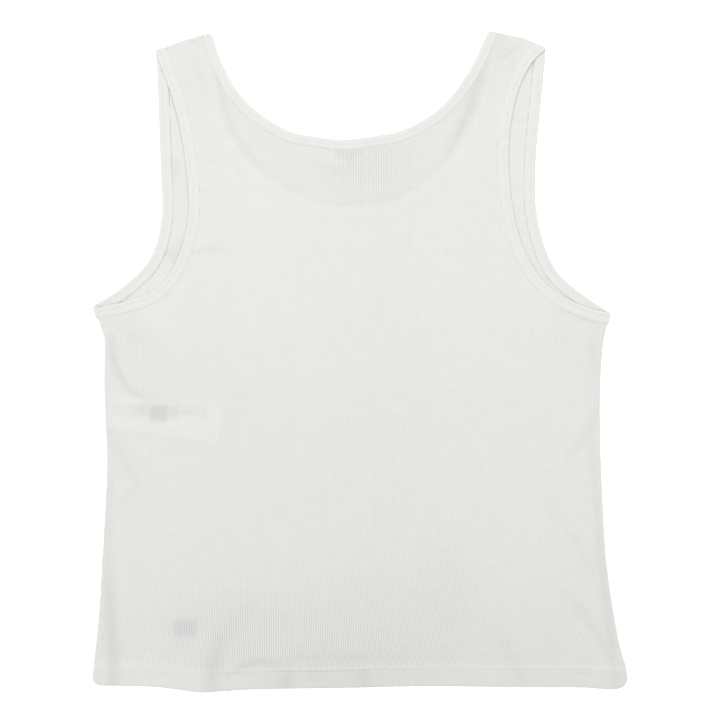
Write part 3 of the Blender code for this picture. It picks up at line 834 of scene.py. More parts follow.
def support(points):
    """The lower face of whatever lies on the front panel, or on the table beside it."""
    on_front = ~inside(FRONT_NECK_OPENING, points)
    edges = [nearest_on(tape.line[::6], points, 30.0)[0] for tape in tapes_of("front")]
    to_edge = np.min(edges, axis=0)
    tape_in = TAPE - (TAPE - LAYER) * ramp(to_edge, ARM_TAPE_WIDTH + EDGE_MARGIN, SLOPE_IN)
    neck_side = TAPE * (1 - ramp(edges[0], 0.5, SLOPE_NECK))
    arm_side = TAPE * (1 - ramp(np.minimum(*edges[1:]), EDGE_MARGIN, SLOPE_OUT))
    tape_out = np.maximum(neck_side, arm_side)
    below = np.where(on_front, tape_in, tape_out)
    over_hem = 1 - ramp(above_hem(points), HEM_DEPTH + 0.9 + EDGE_MARGIN, SLOPE_IN)
    below = np.maximum(below, LAYER + (HEM_THICK - LAYER) * over_hem - LAYER * (~on_front))
    care = over_label(CARE_PAGES[0], points, CARE_FLOOR + LABEL_LEAF, LAYER)
    care = np.maximum(care, over_label(CARE_PAGES[1], points, CARE_FLOOR + LABEL_THICK, LAYER))
    neck = over_label(NECK_LABEL, points, LABEL_THICK, 0.0)
    below = np.maximum(below, np.where(on_front, care, neck))
    return below + GAP * ramp(below, 0.0, LABEL / 2)


def crease_relief(creases, points):
    """The sum of soft ridges and troughs, each tapering to both ends."""
    relief = np.zeros(len(points))
    for rows, half_width, tall in creases:
        rows = np.asarray(rows, float)
        line = smooth_curve(rows, 4.0) if len(rows) > 2 else spaced(rows, 4.0)
        away, along = nearest_on(line, points, 3 * half_width)
        share = along / run_of(line)[-1]
        taper = np.sin(np.pi * (0.1 + 0.8 * share)) ** 0.8
        relief += tall * taper * hump(away, 0.0, half_width) * (away < 900)
    return relief


def looseness(points):
    """Air under the upper layer: none at its sewn edges, most in the middle of the body."""
    side = ramp(from_side(points), 6.5, 9.0)
    hem = ramp(above_hem(points), HEM_GROOVE, 22.0)
    lines = [tape.line[::6] for tape in tapes_of("back")]
    away = np.min([nearest_on(line, points, 40.0)[0] for line in lines], axis=0)
    bound = ramp(away, 9.0, 14.0)
    fold = ramp(from_seam(points), 0.0, 10.0)
    front = EDGES["front_neck"].line[::6]
    off_front = inside(FRONT_NECK_OPENING, points)
    neck = np.where(off_front, 0.25, ramp(nearest_on(front, points, 30.0)[0], 9.0, 16.0))
    return side * bound * fold * (0.25 + 0.75 * hem) * np.maximum(neck, 0.15)


def hem_waves(points):
    """The hem's own small waves, strongest in the middle, where the stitching has drawn out."""
    x, up = points[:, 0], above_hem(points)
    middle = np.exp(-(((x + 20) / 130) ** 2))
    wave = 0.5 * np.sin(x / 6.9 + 0.6) + 0.35 * np.sin(x / 11.7 + 2.0) + 0.2 * np.sin(x / 4.1)
    return 0.42 * middle * wave * hump(up, HEM_GROOVE, 11.0)


def back_underside(points):
    base = support(points)
    loose = looseness(points)
    relief = AIR * loose + crease_relief(BACK_CREASES, points) * (0.25 + 0.75 * loose)
    relief = relief + hem_waves(points)
    side = from_side(points)
    relief = relief + 0.5 * ramp(side, 0.8, 1.6) * (1 - ramp(side, 4.6, 2.4))
    lifted = base + np.maximum(relief, -0.18)
    return level_at_tapes(points, lifted)


def tape_level(tape):
    """Underside of an upper tape at each of its stations: over all that it crosses, smoothed."""
    if tape.level is None:
        some = slice(None, None, 4)
        need = np.zeros(len(tape.line[some]))
        for share in np.linspace(0, 1, 5):
            spots = (tape.line + tape.way * tape.width * share)[some]
            relief = crease_relief(BACK_CREASES, spots) * 0.7
            need = np.maximum(need, support(spots) + np.maximum(relief, -0.15))
        padded = np.pad(need, 3, mode="edge")
        need = np.max([padded[i : i + len(need)] for i in range(7)], axis=0)
        need = smoothed(need, 13)
        tape.level = np.interp(tape.run, tape.run[some], need)
        for away in (tape.run, tape.run[-1] - tape.run):
            share = 1 - ramp(away, 4.0, 22.0)
            tape.level = tape.level * (1 - share) + (TAPE + GAP) * share
    return tape.level


def tape_lift(name, tape):
    """How far an upper tape's outer edge curls up off the layer below it."""
    lift = np.zeros(len(tape.run))
    for lifted, from_shoulder, tall, middle, half, begins, grows in TAPE_LIFTS:
        run = tape.run[-1] - tape.run if from_shoulder else tape.run
        if lifted == name:
            lift = lift + tall * hump(run, middle, half) * ramp(run, begins, grows)
    return lift


def level_at_tapes(points, height):
    """The layer's height, brought to each tape's own level beside it."""
    for tape in tapes_of("back"):
        edge = tape.inset(tape.width)[::6]
        away, along = nearest_on(edge, points, 12.0)
        beside = np.interp(along, run_of(edge), tape_level(tape)[::6])
        share = 1 - ramp(away, 0.8, 8.0)
        height = height * (1 - share) + beside * share
    return height


def from_tapes(layer, inset, points, reach):
    """Distance from the nearest of a layer's tapes' inner edges, or from this far inside it."""
    lines = [tape.inset(tape.width - inset)[::6] for tape in tapes_of(layer)]
    return np.min([nearest_on(line, points, reach)[0] for line in lines], axis=0)


def tucked(points, layer):
    """How deep each point is between a tape's two leaves: 0 in the open and 1 well inside."""
    return 1 - ramp(from_tapes(layer, TUCK, points, 6.0), 0.45 * TUCK, 0.85 * TUCK)


def beside_tapes(points):
    """1 beside the upper tapes' inner edges, falling to 0 away from them."""
    return 1 - ramp(from_tapes("back", 0.0, points, 8.0), 0.6, 5.0)


def round_off(distance, radius):
    """Share of full thickness this far in from a rounded edge."""
    t = np.clip(distance / radius, 0, 1)
    return np.sqrt(1 - (1 - t) ** 2)


def own_thickness(points):
    """A layer with its turned-up hem, the groove of its stitching and the ridges beside it."""
    up = above_hem(points)
    turned = 1 - ramp(up, HEM_GROOVE + 0.6, 4.6)
    thick = LAYER + (HEM_THICK - LAYER) * turned
    return thick - 0.5 * hem_strain(points[:, 0]) * hump(up, HEM_GROOVE, 0.7)


def hem_strain(x):
    """How hard the hem's stitches pull: most in the middle, least at the left."""
    sides = 0.08 + 0.12 * ramp(x, -165.0, 45.0) + 0.12 * ramp(x, 60.0, 90.0)
    return sides + 0.8 * np.exp(-(((x + 32) / 92) ** 2))


def soft_spots(spots, points):
    """The sum of soft round spots: x, y, reach in x and y, and amount at the middle of each."""
    total = np.zeros(len(points))
    for x, y, reach_x, reach_y, amount in spots:
        off = ((points[:, 0] - x) / reach_x) ** 2 + ((points[:, 1] - y) / reach_y) ** 2
        total = total + amount * np.exp(-off)
    return total


def rib_strength(points):
    """How strongly the ribs stand out, by how the cloth is stretched."""
    strength = RIB_BASE + soft_spots(RIB_PLACES, points)
    in_hem = 1 - ramp(above_hem(points), 12.0, 10.0)
    return np.minimum(strength, 3.4) * (1 - 0.6 * in_hem)


def groove_of(share):
    """1 in the groove between two ribs and 0 on a rib, at each column of points."""
    return (np.round(share * COLUMNS).astype(int) % PER_RIB == 0).astype(float)


def back_heights(points, share):
    """Lower and upper face of the back panel."""
    floor = back_underside(points)
    # Its top edge, which thins into the shoulder seam behind a low ridge
    seam = from_seam(points)
    top_end = np.where(seam < 20, 1 - ramp(seam, 0.0, 1.2), 0.0)
    thick = own_thickness(points) + 0.16 * hump(seam, 2.0, 1.0)
    rib = RIB_DEPTH * np.minimum(0.75 + 0.3 * rib_strength(points), 1.45) * groove_of(share)
    rib = rib * ramp(seam, 0.2, 1.8)
    low = floor + 0.66 * top_end
    high = low + thick - rib - 0.9 * top_end
    # Its sides, which bend down to the side seams, and its round hem
    side = np.minimum(from_side(points), 50)
    roll = 1 - round_off(side, SIDE_ROLL)
    low_at_seam, middle_at_seam = SEAM_HEIGHTS["back"]
    low_edge = low - (low - low_at_seam) * roll
    middle = (low_edge + high) / 2
    middle = middle - (middle - middle_at_seam) * roll
    hem = points[:, 1] - hem_y(points[:, 0])
    edge = np.minimum(round_off(hem, HEM_ROUND), round_off(side + 0.15, SIDE_ROUND))
    half = (high - low_edge) / 2 * np.maximum(edge, THINNEST)
    lower, upper = middle - half + rib * 0.5, middle + half
    # Its cut edges, held between the leaves of the tapes
    held = tucked(points, "back")
    lower = lower + (floor + TAPE / 2 - 0.05 - lower) * held
    return lower, upper + (floor + TAPE / 2 + 0.05 - upper) * held


def front_heights(points, share):
    """Lower, outer face and upper, inner face of the front panel."""
    lift = crease_relief(FRONT_CREASES, points) * looseness(points)
    groove = groove_of(share)
    thick = own_thickness(points) + 0.5 * crease_relief(INNER_CREASES, points)
    low = lift + RIB_DEPTH * groove + 0.32 * box_mask(points, PATCH[:2], PATCH[2:], 0.6)
    # The turn over the shoulder fold, where it rises to the back panel's level
    fold, seam = from_fold(points), from_seam(points)
    wrap = (1 - ramp(seam, 0.0, 0.9)) * (1 - 0.2 * ramp(seam, -0.9, 0.9))
    turned_over = 1 - ramp(seam, -1.6, 1.4)
    rib = (1 - groove) * ramp(seam, 1.0, 2.0) + groove * turned_over
    high = lift + np.maximum(thick, 0.72) - 0.7 * RIB_DEPTH * rib + (LAYER + GAP) * wrap
    turn = round_off(fold, FOLD_ROUND)
    low = low + 1.05 * (1 - turn)
    high = high + (0.75 * beside_tapes(points) * turn - 1.0 * (1 - turn)) * wrap
    # Its round hem, and its sides, which bend up to the side seams
    hem, side = points[:, 1] - hem_y(points[:, 0]), from_side(points)
    middle = (low + high) / 2
    half = (high - low) / 2 * np.maximum(round_off(hem, HEM_ROUND), THINNEST)
    roll = 1 - round_off(side, SIDE_ROLL)
    low, high = middle - half, middle + half
    low_at_seam, high_at_seam = SEAM_HEIGHTS["front"]
    low = low + (low_at_seam - low) * roll
    high = np.where(side < 30, high + (high_at_seam - high) * roll, high)
    # Its cut edges, held between the leaves of the tapes and round the fold with them
    held = tucked(points, "front")
    bend = TAPE / 2 + GAP / 2
    round_turn = np.sqrt(bend**2 - np.clip(TURN_RADIUS - fold, 0, bend) ** 2)
    low = low + (TURN_RADIUS - round_turn - 0.05 - low) * held
    return low, high + (low + 0.1 + 2 * round_turn * wrap - high) * held


# Colour of each point


def toned(tint, mask, factor):
    """A tint times a colour factor where the mask is 1."""
    return tint * (1 + mask[:, None] * (np.array(factor) - 1))


def over_front(points):
    """Factor on the upper layer's colour from the front panel and its tape, or where there is none below.
    The line between them holds a painted shade, broader and darker up the straps."""
    opening = inside(FRONT_NECK_OPENING, points)
    edge, _ = nearest_on(EDGES["front_neck"].line[::6], points, 40.0)
    signed = np.where(opening, edge, -edge)
    tape = ramp(-signed, 0.0, 2.0) * (1 - ramp(-signed, 8.0, 2.4))
    tint = toned(np.ones((len(points), 3)), ramp(signed, -0.8, 2.4), SINGLE_LAYER)
    x, y = points[:, 0], points[:, 1]
    strap = ramp(x, 50.0, 45.0) * ramp(y, 170.0, 40.0)
    strap = strap + 0.8 * ramp(-x, 60.0, 40.0) * ramp(y, 165.0, 40.0)
    shade = (0.018 + 0.032 * strap) * hump(signed, 2.4, 2.4 + 2.5 * strap)
    return toned(tint, tape, OVER_TAPE) * (1 - shade)[:, None]


def over_labels(points):
    """The same from the labels, their printed bars and the patch."""
    pages = [box_mask(in_label(page, points), (0, 0), page[2:4], 0.9) for page in CARE_PAGES]
    neck = 0.35 * box_mask(in_label(NECK_LABEL, points), (0, 0), NECK_LABEL[2:4], 0.9)
    tint = toned(np.ones((len(points), 3)), np.maximum(np.maximum(*pages), neck), OVER_LABEL)
    for label, bars in ((CARE_PAGES[1], CARE_BARS), (NECK_LABEL, NECK_BARS)):
        local = in_label(label, points)
        for x, y, length, width, ink in bars:
            tint = toned(tint, ink * box_mask(local, (x, y), (length, width), 3.0), OVER_INK)
    return toned(tint, box_mask(points, PATCH[:2], PATCH[2:], 2.8), OVER_PATCH)


def shaded_folds(points, creases):
    """Painted shade: troughs are a little darker than the ridges beside them."""
    relief = np.zeros(len(points))
    for crease in creases:
        if crease[2] < 0:
            relief = np.minimum(relief, crease_relief((crease,), points))
    return 1 + TROUGH_SHADE * relief


def seam_step_shade(points):
    """Painted shade: a faint dark line along each side, where its seam's allowance ends."""
    return 1 - 0.018 * hump(from_side(points), 6.0, 2.2)


def hem_shade_and_light(points):
    """Painted shade and light at the hem: painted shade in the groove of its stitches, a painted light line
    beside it at the left, and painted shade on the cloth below and above it where the stitches have drawn
    it up."""
    x, up = points[:, 0], above_hem(points)
    groove = 1 - 0.12 * hem_strain(x) * hump(up, HEM_GROOVE, 0.6)
    # painted light on the ridge beside the groove, at the left
    painted_ridge_light = 0.03 * ramp(-x, 110.0, 40.0) * hump(up, HEM_GROOVE + 0.6, 1.1)
    drawn_up = 0.5 * ramp(x, -140.0, 60.0) + 0.5 * hump(x, -20.0, 75.0)
    below = 1 - 0.055 * drawn_up * (1 - ramp(up, HEM_GROOVE - 1.6, 1.4))
    above = 1 - 0.030 * drawn_up * hump(up, HEM_GROOVE + 6.5, 4.0)
    return (groove + painted_ridge_light) * below * above


def back_tint(points):
    # Painted light: a little lighter where the ribs are drawn deeper, above the hem, to offset their own
    # shade
    drawn = 1 + 0.017 * (rib_strength(points) - RIB_BASE) * ramp(points[:, 1], -200.0, 80.0)
    # painted shade and light in broad soft patches
    broad = 1 + soft_spots(BROAD_SHADE_AND_LIGHT, points)
    tone = seam_step_shade(points) * hem_shade_and_light(points) * drawn * broad * shaded_folds(points, BACK_CREASES)
    return np.array(IVORY) * over_front(points) * over_labels(points) * tone[:, None]


def front_tint(points):
    # Painted shade in the groove of the hem's stitches, and in the troughs of the inner face
    hem = 1 - 0.06 * hump(above_hem(points), HEM_GROOVE, 0.6)
    tone = seam_step_shade(points) * hem * shaded_folds(points, INNER_CREASES)
    return np.array(IVORY) * tone[:, None]


# Mesh objects


def add_object(name, data):
    thing = bpy.data.objects.new(name, data)
    bpy.context.scene.collection.objects.link(thing)
    return thing


def mesh_object(name, points, faces, materials, kinds=None):
    """A smooth-shaded object from points in millimetres."""
    mesh = bpy.data.meshes.new(name)
    mesh.from_pydata((np.asarray(points) * MM).tolist(), [], faces)
    mesh.polygons.foreach_set("use_smooth", np.ones(len(mesh.polygons), bool))
    for material in materials:
        mesh.materials.append(material)
    if kinds is not None:
        mesh.polygons.foreach_set("material_index", np.asarray(kinds, np.int32))
    mesh.update()
    return add_object(name, mesh)


def add_values(thing, name, values):
    """A value, or a colour, at each point of a mesh, for its material to read."""
    values = np.asarray(values, np.float32)
    kind, key = ("FLOAT", "value") if values.ndim == 1 else ("FLOAT_COLOR", "color")
    if values.ndim == 2:
        values = np.column_stack([values, np.ones(len(values), np.float32)])
    made = thing.data.attributes.new(name, kind, "POINT")
    made.data.foreach_set(key, values.ravel())


def shell(name, plan, share, fine, heights, fine_is_upper, tint, materials, both_fine=False):
    """A closed layer of knit: its outer face has every rib, and its inner one has them too or
    has fewer points. The inner face's ribs lie between the outer ones."""
    low, high = heights(plan, share)
    rim = rim_of(fine)
    other = fine if both_fine else coarse_faces(plan, share, rim)
    used = np.unique(np.concatenate([other.ravel(), rim.ravel()]))
    number = np.full(len(plan), -1)
    number[used] = np.arange(len(used)) + len(plan)
    fine_z, other_z = (high, low) if fine_is_upper else (low, high)
    points = np.vstack(
        [np.column_stack([plan, fine_z]), np.column_stack([plan[used], other_z[used]])]
    )
    a, b = rim[:, 0], rim[:, 1]
    if fine_is_upper:
        upper, lower = fine, number[other][:, ::-1]
        sides = np.column_stack([number[a], number[b], b, a])
    else:
        upper, lower = number[other], fine[:, ::-1]
        sides = np.column_stack([a, b, number[b], number[a]])
    faces = upper.tolist() + lower.tolist() + sides.tolist()
    kinds = [int(not fine_is_upper)] * len(upper) + [int(fine_is_upper)] * len(lower)
    thing = mesh_object(name, points, faces, materials, kinds + [0] * len(sides))
    soft = np.arange(len(faces)) < len(upper) + len(lower)
    thing.data.polygons.foreach_set("use_smooth", soft)
    both = np.concatenate([np.arange(len(plan)), used])
    strength = rib_strength(plan)
    # Painted shade: the tint is darker in each groove between two ribs and a little lighter on the ribs,
    # where the ribs are drawn out
    drawn = np.maximum(1 - 0.85 * ramp(plan[:, 1], -60.0, 90.0), ramp(strength, 1.5, 1.0))
    drawn = drawn * ramp(above_hem(plan), 12.0, 10.0)
    shade = 1 + GROOVE_SHADE * (0.3 - groove_of(share)) * drawn
    add_values(thing, "tint", (tint(plan) * shade[:, None])[both])
    add_values(thing, "depth", strength[both])
    shift = np.repeat([0.0, 0.5], [len(plan), len(used)])
    add_values(thing, "wale", (share * RIBS)[both] + shift)
    add_values(thing, "course", plan[both, 1])
    return thing


# Materials


class Paint:
    """A material under way: its nodes, and the sockets of its shader."""

    def __init__(self, name):
        self.material = bpy.data.materials.new(name)
        self.material.use_nodes = True
        self.tree = self.material.node_tree
        self.shader = self.tree.nodes["Principled BSDF"].inputs

    def feed(self, sockets, values):
        """Links each named socket to another one, or gives it a number or colour."""
        for name, value in values.items():
            if isinstance(value, bpy.types.NodeSocket):
                self.tree.links.new(value, sockets[name])
            else:
                sockets[name].default_value = value

    def node(self, kind, **values):
        """A new node. Its sockets are named here with _ in place of a space."""
        node = self.tree.nodes.new(f"ShaderNode{kind}")
        self.feed(node.inputs, {name.replace("_", " "): value for name, value in values.items()})
        return node

    def finish(self, **values):
        """Feeds the shader's own sockets, and gives the material."""
        self.feed(self.shader, {name.replace("_", " "): value for name, value in values.items()})
        return self.material

    def kept(self, name, output="Fac"):
        """A value, or a colour, kept at each point of the mesh."""
        node = self.node("Attribute")
        node.attribute_type = "GEOMETRY"
        node.attribute_name = name
        return node.outputs[output]

    def math(self, operation, *values):
        node = self.node("Math")
        node.operation = operation
        self.feed(node.inputs, dict(enumerate(values)))
        return node.outputs[0]

    def mapped(self, value, start, end, low, high, smooth=False):
        """A value that runs from start to end, made to run from low to high."""
        node = self.node("MapRange", Value=value, From_Min=start, From_Max=end, To_Min=low, To_Max=high)
        node.interpolation_type = "SMOOTHSTEP" if smooth else "LINEAR"
        return node.outputs["Result"]

    def noise(self, scale, detail, stretch=(1.0, 1.0, 1.0)):
        place = self.node("TexCoord").outputs["Object"]
        place = self.node("Mapping", Vector=place, Scale=stretch).outputs["Vector"]
        return self.node("TexNoise", Vector=place, Scale=scale, Detail=detail).outputs["Fac"]

    def wave(self, direction, scale, distortion=0.0):
        place = self.node("TexCoord").outputs["Object"]
        node = self.node("TexWave", Vector=place, Scale=scale, Distortion=distortion)
        node.bands_direction = direction
        return node.outputs["Fac"]

    def toned(self, colour, tone):
        """A colour made lighter or darker by the tone."""
        node = self.node("VectorMath")
        node.operation = "SCALE"
        self.feed(node.inputs, {0: colour, "Scale": tone})
        return node.outputs[0]

    def bump(self, height, strength, distance):
        node = self.node("Bump", Strength=strength, Distance=distance, Height=height)
        return node.outputs["Normal"]


def knit_material(name, rib_bump, painted_groove_shade):
    """Cotton rib: a soft painted shade in each groove, V-shaped stitches along each rib, a light nap and a
    faint unevenness of tone."""
    paint = Paint(name)
    off_groove = paint.math("PINGPONG", paint.kept("wale"), 0.5)
    rib = paint.mapped(off_groove, 0.0, 0.24, 0.0, 1.0, True)
    turns = paint.math("DIVIDE", paint.kept("course"), COURSE_PITCH)
    turns = paint.math("ADD", turns, paint.math("MULTIPLY", off_groove, 1.1))
    stitch = paint.mapped(paint.math("PINGPONG", turns, 0.5), 0.04, 0.40, 0.0, 1.0, True)
    stitch = paint.math("MULTIPLY", stitch, rib)
    broad = paint.noise(150.0, 4.0, (0.6, 1.0, 1.0))
    fibre = paint.noise(2600.0, 3.0)
    # painted shade in each groove, deeper where the ribs stand out more
    groove = paint.mapped(rib, 0.0, 1.0, painted_groove_shade, 0.0)
    tone = paint.math("SUBTRACT", 1.0, paint.math("MULTIPLY", groove, paint.kept("depth")))
    for value, start, end, dark, light in (
        (stitch, 0.0, 1.0, 0.985, 1.0),
        (broad, 0.3, 0.7, 0.988, 1.010),
        (fibre, 0.3, 0.7, 0.988, 1.010),
    ):
        tone = paint.math("MULTIPLY", tone, paint.mapped(value, start, end, dark, light))
    height = paint.math("MULTIPLY", stitch, 0.55)
    if rib_bump:
        height = paint.math("ADD", height, paint.math("MULTIPLY", rib, rib_bump))
    height = paint.math("ADD", height, paint.math("MULTIPLY", fibre, 0.35))
    return paint.finish(
        Base_Color=paint.toned(paint.kept("tint", "Color"), tone),
        Roughness=paint.mapped(fibre, 0.3, 0.7, 0.84, 0.96),
        Normal=paint.bump(height, 0.5, 0.00016),
        Specular_IOR_Level=0.25,
        Sheen_Weight=0.12,
        Sheen_Roughness=0.6,
    )


def thread_material(name, colour, twist):
    """Sewing thread: fine twisted plies and a slight gloss."""
    paint = Paint(name)
    plies = paint.wave("DIAGONAL", twist, 1.5)
    fibre = paint.noise(1800.0, 2.0)
    tone = paint.mapped(plies, 0.0, 1.0, 0.90, 1.02)
    tone = paint.math("MULTIPLY", tone, paint.mapped(fibre, 0.3, 0.7, 0.96, 1.03))
    return paint.finish(
        Base_Color=paint.toned(colour, tone),
        Roughness=paint.mapped(fibre, 0.3, 0.7, 0.55, 0.72),
        Normal=paint.bump(plies, 0.6, 0.00008),
    )


def label_material(name):
    """Woven satin label: fine warp and weft, with its plain bars read from the mesh."""
    paint = Paint(name)
    weave = paint.math("MULTIPLY", paint.wave("X", 900.0), paint.wave("Y", 620.0))
    tone = paint.mapped(weave, 0.0, 1.0, 0.93, 1.02)
    return paint.finish(
        Base_Color=paint.toned(paint.kept("tint", "Color"), tone),
        Roughness=paint.mapped(weave, 0.0, 1.0, 0.48, 0.60),
        Normal=paint.bump(weave, 0.4, 0.00006),
    )


def floor_material():
    """Plain, pale and a little bright of itself, so that it reads as white all over."""
    return Paint("studio_floor").finish(
        Base_Color=(0.93, 0.93, 0.93, 1.0),
        Roughness=0.9,
        Specular_IOR_Level=0.1,
        Emission_Color=(1.0, 1.0, 1.0, 1.0),
        Emission_Strength=0.60,
    )


# The two layers


def top_edge(layer):
    """The line above which a layer ends: armhole, strap top, neckline, strap top, armhole."""
    is_back = layer == "back"
    below = from_seam if is_back else from_fold
    lines = [tape.inset(tape.width - TUCK)[::4] for tape in tapes_of(layer)]
    neck, left, right = (line[below(line) > 0.3] for line in lines)
    insets = [SEAM_INSET[side] if is_back else 0.02 for side in SIDES]
    strap_left, strap_right = (shoulder_line(side, inset) for side, inset in zip(SIDES, insets))
    line = [(300.0, right[0, 1]), *right]
    line += [*clipped(strap_right, right[-1, 0], neck[-1, 0]), *neck[::-1]]
    line += [*clipped(strap_left, neck[0, 0], left[-1, 0]), *left[::-1], (-300.0, left[0, 1])]
    return in_shares(np.array(line))


def clipped(line, x_first, x_last):
    """The part of a strap's top between two x, from the first to the last."""
    order = np.argsort(line[:, 0])
    xs = np.linspace(x_first, x_last, 25)
    return np.column_stack([xs, np.interp(xs, line[order, 0], line[order, 1])])


def beside(tape, distances):
    """Lines along a tape, at these distances in from its outer edge."""
    return [in_shares(tape.inset(distance)[::6]) for distance in distances]


def beside_all(layer):
    """Lines beside the inner edge of each of a layer's tapes."""
    tapes = tapes_of(layer)
    return [line for tape in tapes for line in beside(tape, np.add(tape.width, TAPE_ROWS))]


def below_fold(side, insets):
    """Lines at these distances in from a shoulder fold."""
    return [in_shares(spaced(shoulder_line(side, inset), 4.0)) for inset in insets]


def make_back_cloth(knit, inner):
    features = beside(EDGES["front_neck"], NECK_ROWS) + beside_all("back")
    for side, seam in SEAM_INSET.items():
        features += below_fold(side, np.add(seam, TOP_ROWS))
    corners = np.vstack([label_corners(page, 3.0) for page in CARE_PAGES])
    (x0, y0), (x1, y1) = corners.min(0), corners.max(0)
    patches = [*CLOSE_ROWS, (x0, x1, y0, y1, 2.5)]
    for (x, y), (reach, below, above, step) in ((PATCH[:2], NEAR_PATCH), (NECK_LABEL[:2], NEAR_LABEL)):
        patches.append((x - reach, x + reach, y - below, y + above, step))
    plan, share, faces = rib_plan(top_edge("back"), features, patches, BACK_ROW)
    return shell("back_cloth", plan, share, faces, back_heights, True, back_tint, [knit, inner])


def make_front_cloth(knit):
    features = beside_all("front")
    for side, seam in SEAM_INSET.items():
        features += below_fold(side, [*FOLD_ROWS, *np.add(seam, SEAM_ROWS)])
    x, y, _, height = PATCH
    reach = NEAR_PATCH[0]
    patches = [(x - reach, x + reach, y - height / 2 - 1, y + height / 2 + 3, 2.0)]
    plan, share, faces = rib_plan(top_edge("front"), features, patches, FRONT_ROW)
    both = [knit, knit]
    return shell("front_cloth", plan, share, faces, front_heights, False, front_tint, both, True)


# Rib tape, folded round an edge


def tape_profile(width, stitch):
    """The tape's section, as distance from its fold and height above its inner face: an outer
    leaf, a rounded fold, an inner leaf, and the slit between that holds the cloth's edge."""
    leaf = (
        (width + 0.1, 0.93),
        (width - 0.35, 1.14),
        (width - 1.3, 1.48),
        (width - 2.5, 1.68),
        (stitch + 1.1, 1.66),
        (stitch, 1.36),
        (stitch - 1.0, 1.62),
        (stitch - 1.9, 1.76),
        (1.3, 1.70),
        (0.5, 1.46),
        (0.12, 1.18),
    )
    under = [(a, TAPE - h) for a, h in leaf[::-1]]
    slit = [
        (width - 0.8, 0.84),
        (width - 3.0, 0.82),
        (1.4, 0.82),
        (1.1, 0.90),
        (1.4, 0.98),
        (width - 3.0, 0.98),
        (width - 0.8, 0.96),
    ]
    return np.array([*leaf, (-0.15, 0.90), *under, *slit])


def tape_sections(upper, lower, name, rounds):
    """Frames round a ring of tape: origin, way across, way up through its section, how far its
    outer edge curls up, and how far its corner is drawn in, with the radius of that corner.
    The ring begins and ends on the underside of a half turn."""
    above = strip_frames(upper, tape_level(upper), 1.0, tape_lift(name, upper), rounds)
    level, flat = np.full(len(lower.line), TAPE), np.zeros(len(lower.line))
    below = strip_frames(lower, level, -1.0, flat, rounds)[::-1]
    first = turn_frames(upper, lower, 0, rounds[0])[::-1]
    last = turn_frames(upper, lower, -1, rounds[1])
    return np.array([*first[2:], *above, *last, *below, *first[:2]], float)


def strip_frames(tape, level, up, lift, rounds):
    """Frames along one strip of a ring, clear of both its half turns."""
    frames = []
    for i in strip_stations(tape):
        origin, way = (*tape.line[i], level[i]), (*tape.way[i], 0.0)
        frames.append((origin, way, (0.0, 0.0, up), (0.0, 0.0, lift[i]), *corner_draw(tape, i, rounds)))
    return frames


def off_line(tape, end):
    """How far each station of a tape is inside the fold at one of its ends."""
    return (tape.line[end] - tape.line) @ off_fold(tape.line[end], tape.way[end])


def strip_stations(tape):
    """The stations of a tape that are clear of both its half turns."""
    half = len(tape.line) // 2
    first = int(np.argmax(off_line(tape, 0) > TURN_RADIUS + 0.3))
    last = len(tape.line) - int(np.argmax(off_line(tape, -1)[::-1] > TURN_RADIUS + 0.3))
    return range(min(first, half), max(last, half))


def corner_draw(tape, i, rounds):
    """Direction and size of the drawing in of a corner at one station, and its radius."""
    end, radius = (0, rounds[0]) if i < len(tape.line) / 2 else (-1, rounds[1])
    outward = off_fold(tape.line[end], tape.way[end])
    share = 1 - ramp((tape.line[end] - tape.line[i]) @ outward, TURN_RADIUS, 8.0)
    return (*(-outward * share), 0.0), (radius, 0.0, 0.0)


def turn_frames(upper, lower, end, radius):
    """Frames through a half turn, from the upper strip down to the lower one. The outermost
    of its outer face is at the corner of the garment, and it starts and ends where the two
    strips come to it."""
    corner, way = upper.line[end], upper.way[end]
    outward = off_fold(corner, way)
    starts = []
    for tape in (upper, lower):
        order = slice(None) if end == 0 else slice(None, None, -1)
        run = off_line(tape, end)[order][:60]
        along = ((tape.line - corner) @ way)[order][:60]
        starts.append(np.interp(TURN_RADIUS, run, along))
    frames = []
    bend = GAP / 2
    for angle in np.linspace(0, np.pi, 13):
        aside = starts[0] + (starts[1] - starts[0]) * angle / np.pi
        spot = corner + way * aside + outward * (bend * np.sin(angle) - TURN_RADIUS)
        origin = (*spot, TURN_RADIUS + bend * np.cos(angle))
        up = (*(outward * np.sin(angle)), np.cos(angle))
        draw, none = (*-outward, 0.0), (0.0, 0.0, 0.0)
        frames.append((origin, (*way, 0.0), up, none, draw, (radius, 0.0, 0.0)))
    return frames


def on_tape(frames, across, height, width):
    """Points this far across a tape and this high in its section, with its curl, and with the
    outer edge drawn in at each corner, so that the corner is round in plan."""
    curl = np.clip(1 - across / width, 0, 1) ** 1.3
    radius = frames[:, 5, :1]
    draw = radius - np.sqrt(np.maximum(radius**2 - (radius - np.clip(across, 0, radius)) ** 2, 0))
    spots = frames[:, None, 0] + frames[:, None, 1] * across[..., None]
    spots = spots + frames[:, None, 2] * height[..., None] + frames[:, None, 3] * curl[..., None]
    return spots + frames[:, None, 4] * draw[..., None]


